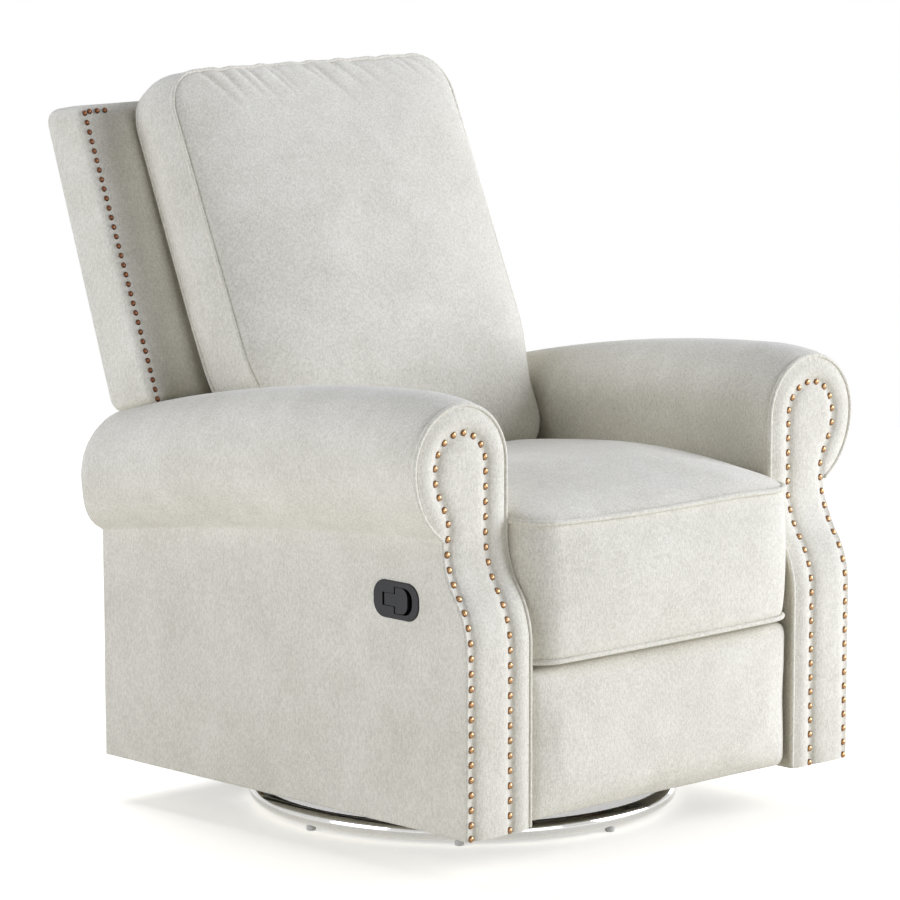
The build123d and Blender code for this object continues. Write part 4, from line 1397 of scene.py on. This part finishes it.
# ---------------------------------------------------------------------------- back
@dataclass
class WingedBack:
    """The upholstered T-shaped back with its nails, and the loose cushion on it."""

    palette: Palette
    front_lean: float = math.tan(math.radians(21.25))
    rear_lean: float = math.tan(math.radians(18.8))
    front_y: float = 0.2800
    rear_y: float = 0.3750
    lean_z: float = 0.744
    half: float = 0.3532
    top_z: float = 0.9605
    rear_top_z: float = 0.948
    low_front_z: float = 0.566
    low_rear_z: float = 0.538
    lower_half: float = 0.2405
    lower_z: float = 0.362
    lower_top_z: float = 0.640
    lower_inset: float = 0.004
    nail_pitch: float = 0.0136
    nail_head: float = 0.0042
    nail_inset: float = 0.0066
    nail_lift: float = 0.0010
    nail_top: float = 0.0106
    nail_foot: float = 0.006
    turned_in: Point = (0.66, 1.68, 2.69)
    turned_up: float = 0.002
    cushion_half: float = 0.264
    cushion_lean: float = math.radians(23.4)
    cushion_foot: Pair = (0.1427, 0.4215)
    cushion_length: float = 0.5938
    cushion_corner: float = 0.060
    back_bulge: float = 0.013
    back_gap: float = 0.0120
    back_gap_from: float = 0.1592
    back_gap_slope: float = 0.0115
    boxing: float = 0.096
    boxing_puff: float = 0.009
    crown: float = 0.033
    piping: float = 0.0028
    puff_run: float = 0.08
    squeeze: float = 0.062
    squeeze_run: Pair = (0.0855, 0.1955)
    behind_wider: float = 0.010
    free_run: Pair = (0.1355, 0.2755)
    held_foot: float = 0.05
    held_behind: float = 0.004
    pleats: int = 15
    pleat_start: float = -0.205
    pleat_run: float = 0.4
    pleat_shift: float = 0.012
    pleat_slant: float = 0.80
    pleat_turn: float = 0.22
    pleat_reach: Pair = (0.018, 0.046)
    pleat_width: Pair = (0.0032, 0.0058)
    pleat_depth: Pair = (0.0011, 0.0027)
    face_wave: float = 0.0012
    top_seam: float = 0.012
    seam_waves: tuple[Point, ...] = ((0.0008, 0.0078, 0.0), (0.0005, 0.0047, 1.0))

    def front_plane(self, z: Array) -> Array:
        """Y of the back's front plane."""
        return self.front_y + (z - self.lean_z) * self.front_lean

    def rear_plane(self, z: Array) -> Array:
        """Y of the back's rear plane."""
        return self.rear_y + (z - self.lean_z) * self.rear_lean

    def build(self) -> None:
        """Builds and dresses the back."""
        pieces = [self.wings(), self.lower(), *self.nail_columns()]
        cushion, form = self.cushion()
        pieces += [cushion, *self.cushion_piping(form)]
        for made in pieces:
            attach(made, "back")
            LOG.info("piece %s", made.name)

    def slab(
        self, half: float, low: Pair, high: Pair, corner: float, crown: float, edge: float, inset: float = 0.0
    ) -> SewnBox:
        """Lays out a leaning slab between the two planes.

        Args:
            half: half its width.
            low: heights of its foot at the front and at the rear.
            high: heights of its top at the front and at the rear.
            corner: radius of its corners seen from the front.
            crown: how far its face swells.
            edge: radius of its long edges.
            inset: how far its two faces lie inside the planes.

        Returns:
            The form, whose w runs from the rear (0) to the front (1).
        """
        length = high[0] - low[0]
        deep = self.rear_y - self.front_y

        def place(across: Array, along: Array, thick: Array) -> Array:
            """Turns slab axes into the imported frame's.

            Args:
                across: places across.
                along: places up from the foot.
                thick: places forward from the rear plane.

            Returns:
                The places, one row each.
            """
            share = thick / deep
            foot = low[1] + (low[0] - low[1]) * share
            top = high[1] + (high[0] - high[1]) * share
            z = foot + (top - foot) * along / length
            y = self.rear_plane(z) + (self.front_plane(z) - self.rear_plane(z)) * share
            return np.column_stack([across, y, z])

        return SewnBox(
            half, length, corner, crown, -0.0015, place, level(inset), level(deep - inset),
            cell=0.0075, edge=edge,
        )

    def wings(self) -> Piece:
        """Makes the wide upper part of the back.

        Returns:
            The wings' cover.
        """
        foot, top = (self.low_front_z, self.low_rear_z), (self.top_z, self.rear_top_z)
        form = self.slab(self.half, foot, top, corner=0.020, crown=0.004, edge=0.013)
        made = form.build("back_wing_cover", self.palette.cloth)
        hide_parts("back_shell")
        return made

    def lower(self) -> Piece:
        """Makes the narrow part of the back between the arms.

        Returns:
            The lower part's cover.
        """
        foot, top = (self.lower_z, self.lower_z), (self.lower_top_z, self.lower_top_z)
        form = self.slab(
            self.lower_half, foot, top, corner=0.010, crown=0.003, edge=0.009, inset=self.lower_inset
        )
        made = form.build("back_lower_cover", self.palette.cloth)
        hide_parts("back_shell")
        return made

    def nail_columns(self) -> list[Piece]:
        """Makes the nails along the wings' front edges, turning in at the top.

        Returns:
            The two rows of nails.
        """
        made = []
        pitch = self.nail_pitch
        normal = Vector((0, -1, self.front_lean)).normalized()
        drop = pitch * math.cos(math.atan(self.front_lean))
        heights = np.arange(self.top_z - self.nail_top, self.low_front_z - self.nail_foot, -drop)
        for side in Side:
            x = (self.half - self.nail_inset) * side.value
            spots = [(x, z) for z in heights]
            spots += [(x - side.value * pitch * k, heights[0] + self.turned_up) for k in self.turned_in]
            places = []
            for px, z in spots:
                place = Vector((px, float(self.front_plane(np.array(z))), z))
                places.append((place + normal * self.nail_lift, normal))
            # These nails take the darker copy of the copper, which paints the shade of the wing's front.
            nails = nail_piece(f"back_nails_{side.label}", places, self.nail_head, self.palette.shaded_copper)
            made.append(nails)
        return made

    def cushion_place(self, across: Array, along: Array, thick: Array) -> Array:
        """Turns the cushion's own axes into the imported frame's.

        Args:
            across: places across.
            along: places up from the foot.
            thick: places forward from the back.

        Returns:
            The places, one row each.
        """
        sine, cosine = math.sin(self.cushion_lean), math.cos(self.cushion_lean)
        near_top = smoothstep(along, self.cushion_length - self.puff_run, self.cushion_length)
        puffed = np.sin(math.pi * np.clip(thick / self.boxing, 0, 1)) * near_top
        along = along + self.boxing_puff * puffed
        y = self.cushion_foot[0] + along * sine - thick * cosine
        z = self.cushion_foot[1] + along * cosine + thick * sine
        return np.column_stack([across, y, z])

    def cushion_back(self, across: Array, along: Array) -> Array:
        """Where the cushion's back lies, in its own thickness: free at the seam and bulging within.

        Args:
            across: places across.
            along: places up from the foot.

        Returns:
            The back's height at each place.
        """
        seam = self.back_gap + (along - self.back_gap_from) * self.back_gap_slope
        over = np.clip(np.abs(across) / self.cushion_half, 0, 1)
        up = np.clip(np.abs(2 * along / self.cushion_length - 1), 0, 1)
        return seam - self.back_bulge * (1 - over ** 6) * (1 - up ** 6)

    def cushion_scale(self, along: Array, w: Array) -> Array:
        """Squeezes the cushion between the arms at its foot, and lets it out a little behind.

        Args:
            along: places up from the foot.
            w: places through it, from 0 at the back to 1 at the face.

        Returns:
            How wide it is there, as a share.
        """
        squeeze = 1 - self.squeeze * (1 - smoothstep(along, *self.squeeze_run))
        free = smoothstep(along, *self.free_run)
        puffed = self.boxing_puff / self.cushion_half * np.sin(math.pi * np.clip(w, 0, 1))
        return squeeze * (1 + free * (self.behind_wider * (1 - w) + puffed))

    def cushion(self) -> tuple[Piece, SewnBox]:
        """Makes the loose back cushion, stuffed and gathered at the top.

        Returns:
            The cover and its form.
        """
        form = SewnBox(
            self.cushion_half, self.cushion_length, self.cushion_corner, self.crown, 0.0, self.cushion_place,
            self.cushion_back, level(self.boxing), self.cushion_scale,
        )
        made = form.build("back_cushion_cover", self.palette.cloth)
        rest = coordinates(made)
        seams = np.vstack([form.seam(1.0), form.seam(0.0)])
        behind = rest[:, 1] > self.front_plane(rest[:, 2]) - self.held_behind
        fall = (rest[:, 1] - self.cushion_foot[0]) * math.tan(self.cushion_lean)
        foot = rest[:, 2] < self.cushion_foot[1] + self.held_foot - fall
        Stuffing(cap=0.014, ease=40).swell(made, seams, behind | foot)
        soften(made)
        self.gather(made)
        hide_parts("back_cushion")
        return made, form

    def gather(self, cover: Piece) -> None:
        """Presses in the short pleats that fan down from the top seam.

        Args:
            cover: the stuffed cover.
        """
        points, normals = coordinates(cover), normals_of(cover)
        sine, cosine = math.sin(self.cushion_lean), math.cos(self.cushion_lean)
        dy, dz = points[:, 1] - self.cushion_foot[0], points[:, 2] - self.cushion_foot[1]
        along, thick = dy * sine + dz * cosine, -dy * cosine + dz * sine
        below = self.cushion_length - along
        on_face = smoothstep(thick, self.boxing - 0.004, self.boxing + 0.004)
        maker = random.Random(5)
        depth = np.zeros(len(points))
        for step in range(self.pleats):
            start = self.pleat_start + self.pleat_run * step / (self.pleats - 1)
            start += maker.uniform(-self.pleat_shift, self.pleat_shift)
            fan = 0.25 * start / 0.2
            slant = self.pleat_slant + fan + maker.uniform(-self.pleat_turn, self.pleat_turn)
            reach, width = maker.uniform(*self.pleat_reach), maker.uniform(*self.pleat_width)
            off = points[:, 0] - start - slant * below
            fade = np.exp(-((below - self.top_seam) / reach) ** 2) * smoothstep(below, 0.0, 0.006)
            spread = width * (1 + 5 * below)
            depth += maker.uniform(*self.pleat_depth) * np.exp(-(off / spread) ** 2) * fade
        depth *= on_face
        depth += self.face_wave * ripple(points, scale=0.16, seed=3) * on_face
        moved = points - normals * depth[:, None]
        near_top = smoothstep(along, self.cushion_length - 0.022, self.cushion_length - 0.002)
        moved += self.seam_wave(points[:, 0], near_top)
        move_vertices(cover, moved)

    def seam_wave(self, across: Array, share: Array) -> Array:
        """Draws the gathered top seam's small waves.

        Args:
            across: places across.
            share: how far each place takes part, from 0 to 1.

        Returns:
            Steps along the cushion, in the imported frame's axes.
        """
        held = smoothstep(self.cushion_half - 0.03 - np.abs(across), 0.0, 0.05)
        wave = sum(height * np.sin(across / length + shift) for height, length, shift in self.seam_waves)
        step = wave * held * share
        zero = np.zeros_like(step)
        return np.column_stack([zero, step * math.sin(self.cushion_lean), step * math.cos(self.cushion_lean)])

    def cushion_piping(self, form: SewnBox) -> list[Piece]:
        """Makes the piping round the cushion's front and rear seams.

        Args:
            form: the cushion's form.

        Returns:
            The two cords.
        """
        made = []
        for name, share in (("front", 1.0), ("rear", 0.0)):
            path = form.seam(share)
            if share == 0.0:
                path[:, 1] -= self.piping
            else:
                along = (path[:, 2] - self.cushion_foot[1]) * math.cos(self.cushion_lean)
                along += (path[:, 1] - self.cushion_foot[0]) * math.sin(self.cushion_lean)
                at_top = along > self.cushion_length - self.top_seam
                path += self.seam_wave(path[:, 0], at_top.astype(float))
            cord = cord_piece(f"back_piping_{name}", path, self.piping, self.palette.cord, closed=True)
            made.append(cord)
        return made


# ---------------------------------------------------------------------------- seat and footrest
@dataclass
class Seat:
    """The seat cushion with its tall front border."""

    palette: Palette
    half: float = 0.2495
    front: float = -0.416
    length: float = 0.520
    deck: float = 0.346
    border_foot: float = 0.276
    border_depth: float = 0.068
    piping_z: float = 0.462
    corner: float = 0.046
    crown: float = 0.043
    sag: float = 0.005
    fall: float = 0.025
    bulge: float = 0.010
    foot_out: float = 0.003
    side_bulge: float = 0.0035
    corner_drop: float = 0.0065
    draw_in: float = 0.001
    bow: float = 0.005
    bow_run: float = 0.2
    bulge_run: float = 0.12
    side_from: float = 0.12
    border_step: float = 0.008
    sag_run: Pair = (0.02, 0.25)
    drop_run: Pair = (0.10, 0.25)
    fall_run: Pair = (0.10, 0.48)
    held_behind: float = 0.045
    held_below: float = 0.008
    piping: float = 0.0036
    piping_run: float = 0.30
    piping_out: Point = (0.0, -0.0028, 0.0008)
    hem: float = 0.0034
    hem_run: float = 0.05
    hem_out: Point = (0.0, -0.0036, 0.0030)
    under_back: Pair = (0.1427, 0.4180)
    under_back_lean: float = math.tan(math.radians(23.4))

    def place(self, across: Array, along: Array, thick: Array) -> Array:
        """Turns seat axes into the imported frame's, with the border bulged.

        Args:
            across: places across.
            along: places back from the front.
            thick: heights.

        Returns:
            The places, one row each.
        """
        bow = self.bow * (1 - (across / self.half) ** 2) * (1 - smoothstep(along, 0.0, self.bow_run))
        rise = np.clip((thick - self.border_foot) / (self.piping_z - self.border_foot), 0, 1)
        front = 1 - smoothstep(along, 0.0, self.bulge_run)
        swell = np.sqrt(np.maximum(np.sin(math.pi * rise), 0.0)) * front
        outward = np.sign(across) * smoothstep(np.abs(across), self.side_from, self.half)
        wide = across + self.side_bulge * swell * outward
        y = self.front + along - bow - self.bulge * swell - self.foot_out * (1 - rise) * front
        return np.column_stack([wide, y, thick])

    def seat_foot(self, across: Array, along: Array) -> Array:
        """Height of the underside: the border hangs down in front of the deck."""
        behind = smoothstep(along, self.border_depth - self.border_step, self.border_depth)
        return self.border_foot + (self.deck - self.border_foot) * behind

    def seat_top(self, across: Array, along: Array) -> Array:
        """Height of the piping: lower in the middle and at the left corner, and falling to the rear.

        Args:
            across: places across.
            along: places back from the front.

        Returns:
            The height at each place.
        """
        front = 1 - smoothstep(along, *self.sag_run)
        drop = self.corner_drop * smoothstep(across, *self.drop_run)
        sag = self.sag * (1 - (across / self.half) ** 2) + drop
        return self.piping_z - sag * front - self.fall * smoothstep(along, *self.fall_run)

    def build(self) -> None:
        """Builds and dresses the seat."""
        form = SewnBox(
            self.half, self.length, self.corner, self.crown, self.draw_in, self.place, self.seat_foot,
            self.seat_top,
        )
        cover = form.build("seat_cover", self.palette.cloth)
        rest = coordinates(cover)
        behind = rest[:, 1] > self.front + self.held_behind
        inside = behind & (rest[:, 2] < self.piping_z - self.fall - self.held_below)
        Stuffing(cap=0.009, ease=60).swell(cover, form.seam(1.0), inside)
        soften(cover)
        self.fit_under_back(cover)
        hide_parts("seat_cushion")
        path = self.front_run(form.seam(1.0), self.piping_run) + self.piping_out
        piping = cord_piece("seat_piping", path, self.piping, self.palette.cord)
        path = self.front_run(form.seam(0.0), self.hem_run) + self.hem_out
        hem = cord_piece("seat_hem_cord", path, self.hem, self.palette.cord)
        for made in (cover, piping, hem):
            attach(made, "seat")
            LOG.info("piece %s", made.name)

    def front_run(self, seam: Array, reach: float) -> Array:
        """Takes the part of a seam that runs round the front, in order.

        Args:
            seam: the closed seam.
            reach: how far back from the front it goes.

        Returns:
            The part's points, from one side to the other.
        """
        run = seam[seam[:, 1] < self.front + reach]
        return run[np.argsort(np.arctan2(run[:, 0], -(run[:, 1] - self.front - reach)))]

    def fit_under_back(self, cover: Piece) -> None:
        """Keeps the cloth below the sloping underside of the back cushion.

        Args:
            cover: the stuffed cover.
        """
        points = coordinates(cover)
        limit = self.under_back[1] - (points[:, 1] - self.under_back[0]) * self.under_back_lean
        points[:, 2] = np.minimum(points[:, 2], limit)
        move_vertices(cover, points)


@dataclass
class Footrest:
    """The pad on the footrest's face."""

    palette: Palette
    half: float = 0.2490
    low: float = 0.067
    high: float = 0.268
    front: float = -0.410
    pad: float = 0.036
    wrap: float = 0.0008
    crown: float = 0.008
    corner: float = 0.013
    edge: float = 0.011

    def build(self) -> None:
        """Builds and dresses the pad, its cloth taken round the board behind it."""
        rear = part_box("footrest_board")[1].y + self.wrap
        form = SewnBox(
            self.half, self.high - self.low, self.corner, self.crown, 0.0,
            lambda across, along, thick: np.column_stack([across, rear - thick, self.low + along]),
            level(0.0), level(rear - self.front), cell=0.005, roundness=4.0, edge=self.edge,
        )
        cover = form.build("footrest_cover", self.palette.cloth)
        behind = coordinates(cover)[:, 1] > self.front + self.pad - 0.004
        Stuffing(cap=0.005, pressure=2.5, ease=60).swell(cover, form.seam(0.0), behind)
        soften(cover)
        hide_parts("footrest_pad")
        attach(cover, "footrest")
        LOG.info("piece %s", cover.name)


@dataclass
class RearPanel:
    """The upholstered panel across the rear of the body."""

    palette: Palette
    corner: float = 0.004
    crown: float = 0.003

    def build(self) -> None:
        """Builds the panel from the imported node's box."""
        low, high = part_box("rear_panel")
        form = SewnBox(
            high.x, high.z - low.z, self.corner, self.crown, 0.0,
            lambda across, along, thick: np.column_stack([across, low.y + thick, low.z + along]),
            level(0.0), level(high.y - low.y), cell=0.010, roundness=4.0, edge=self.corner,
        )
        cover = form.build("rear_panel_cover", self.palette.cloth)
        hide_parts("rear_panel")
        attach(cover, "carriage")
        LOG.info("piece %s", cover.name)


# ---------------------------------------------------------------------------- studio
@dataclass(frozen=True)
class Lamp:
    """A square area lamp aimed at the chair: its name, place, power in watts and size."""

    name: str
    place: Point
    power: float
    size: float

    def build(self, colour: Colour, aim: Point) -> None:
        """Hangs the lamp.

        Args:
            colour: the light's colour.
            aim: the point that it faces.
        """
        data = bpy.data.lights.new(self.name, "AREA")
        data.energy, data.size = self.power, self.size
        data.color = colour
        lamp = bpy.data.objects.new(self.name, data)
        bpy.context.scene.collection.objects.link(lamp)
        lamp.location = self.place
        lamp.rotation_mode = "QUATERNION"
        lamp.rotation_quaternion = (Vector(aim) - Vector(self.place)).to_track_quat("-Z", "Y")


@dataclass
class Studio:
    """Pale floor, soft light and the camera at the photograph's angle."""

    camera_place: Point = (-4.57885, -4.75008, 1.52868)
    camera_back: Point = (-0.685687, -0.710952, 0.156142)
    lens: float = 193.36
    sensor: float = 36.0
    clip_end: float = 60.0
    daylight: Colour = (0.935, 0.976, 1.130)
    aim: Point = (0.0, -0.05, 0.5)
    lamps: tuple[Lamp, ...] = (
        Lamp("key", (6.51, -5.40, 2.79), 860.0, 6.0),
        Lamp("left_fill", (-8.62, 1.58, 1.05), 490.0, 5.0),
        Lamp("right_fill", (8.18, 3.05, 1.73), 110.0, 3.4),
        Lamp("top", (0.0, 4.46, 8.11), 375.0, 4.4),
        Lamp("front_fill", (-0.5, -8.9, 0.9), 140.0, 3.6),
    )
    floor_half: float = 3.0
    floor_colour: Colour = (0.94, 0.90, 0.78)
    floor_glow: float = 0.50
    world_light: float = 0.03

    def build(self) -> None:
        """Makes the floor, the world, the lamps and the camera."""
        self.floor()
        self.world()
        for lamp in self.lamps:
            lamp.build(self.daylight, self.aim)
        data = bpy.data.cameras.new("camera")
        data.lens, data.sensor_width = self.lens, self.sensor
        data.clip_end = self.clip_end
        camera = bpy.data.objects.new("camera", data)
        bpy.context.scene.collection.objects.link(camera)
        camera.location = self.camera_place
        camera.rotation_mode = "QUATERNION"
        camera.rotation_quaternion = (-Vector(self.camera_back)).to_track_quat("-Z", "Y")
        bpy.context.scene.camera = camera
        bpy.context.scene.view_settings.view_transform = "Standard"

    def floor(self) -> None:
        """Makes the pale floor, which looks white and keeps the chair's shadow."""
        half = self.floor_half
        corner_points = np.array([(-half, -half, 0), (half, -half, 0), (half, half, 0), (-half, half, 0)])
        made = piece("studio_floor", corner_points, [(0, 1, 2, 3)], self.floor_material())

    def floor_material(self) -> Material:
        """Makes a diffuse pale floor, lifted to white where the camera or a reflection sees it.

        Returns:
            The material.
        """
        made = MaterialMaker("studio_floor")
        made.set(Base_Color=(*self.floor_colour, 1.0), Roughness=0.9)
        seen = made.seen_rays("Is Camera Ray", "Is Glossy Ray", "Is Transmission Ray")
        plain = made.shader.outputs[0]
        glow = made.node("Emission", {"Strength": self.floor_glow}).outputs[0]
        lifted = made.node("AddShader", {0: plain, 1: glow}).outputs[0]
        mixed = made.node("MixShader", {0: seen, 1: plain, 2: lifted}).outputs[0]
        made.feed(made.tree.nodes["Material Output"].inputs["Surface"], mixed)
        return made.material

    def world(self) -> None:
        """Makes even grey light, white where the camera, a reflection or a refraction sees it."""
        world = bpy.data.worlds.new("studio")
        world.use_nodes = True
        bpy.context.scene.world = world
        made = Wiring(world.node_tree)
        white = {"Color": (1.0, 1.0, 1.0, 1.0), "Strength": 1.0}
        dim = made.tree.nodes["Background"]
        made.feed(dim.inputs["Color"], white["Color"])
        made.feed(dim.inputs["Strength"], self.world_light)
        bright = made.node("Background", white).outputs[0]
        seen = made.seen_rays("Is Camera Ray", "Is Glossy Ray", "Is Transmission Ray")
        mixed = made.node("MixShader", {0: seen, 1: dim.outputs[0], 2: bright}).outputs[0]
        made.feed(made.tree.nodes["World Output"].inputs["Surface"], mixed)


def main() -> None:
    """Builds the chair, its studio and its camera."""
    logging.basicConfig(level=logging.INFO, format="%(message)s")
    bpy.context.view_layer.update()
    Studio().build()
    palette = Palette()
    palette.dress_cad(frame["record"])
    for side in Side:
        RolledArm(side, palette).build()
    WingedBack(palette).build()
    Seat(palette).build()
    Footrest(palette).build()
    RearPanel(palette).build()


if __name__ == "__main__":
    main()
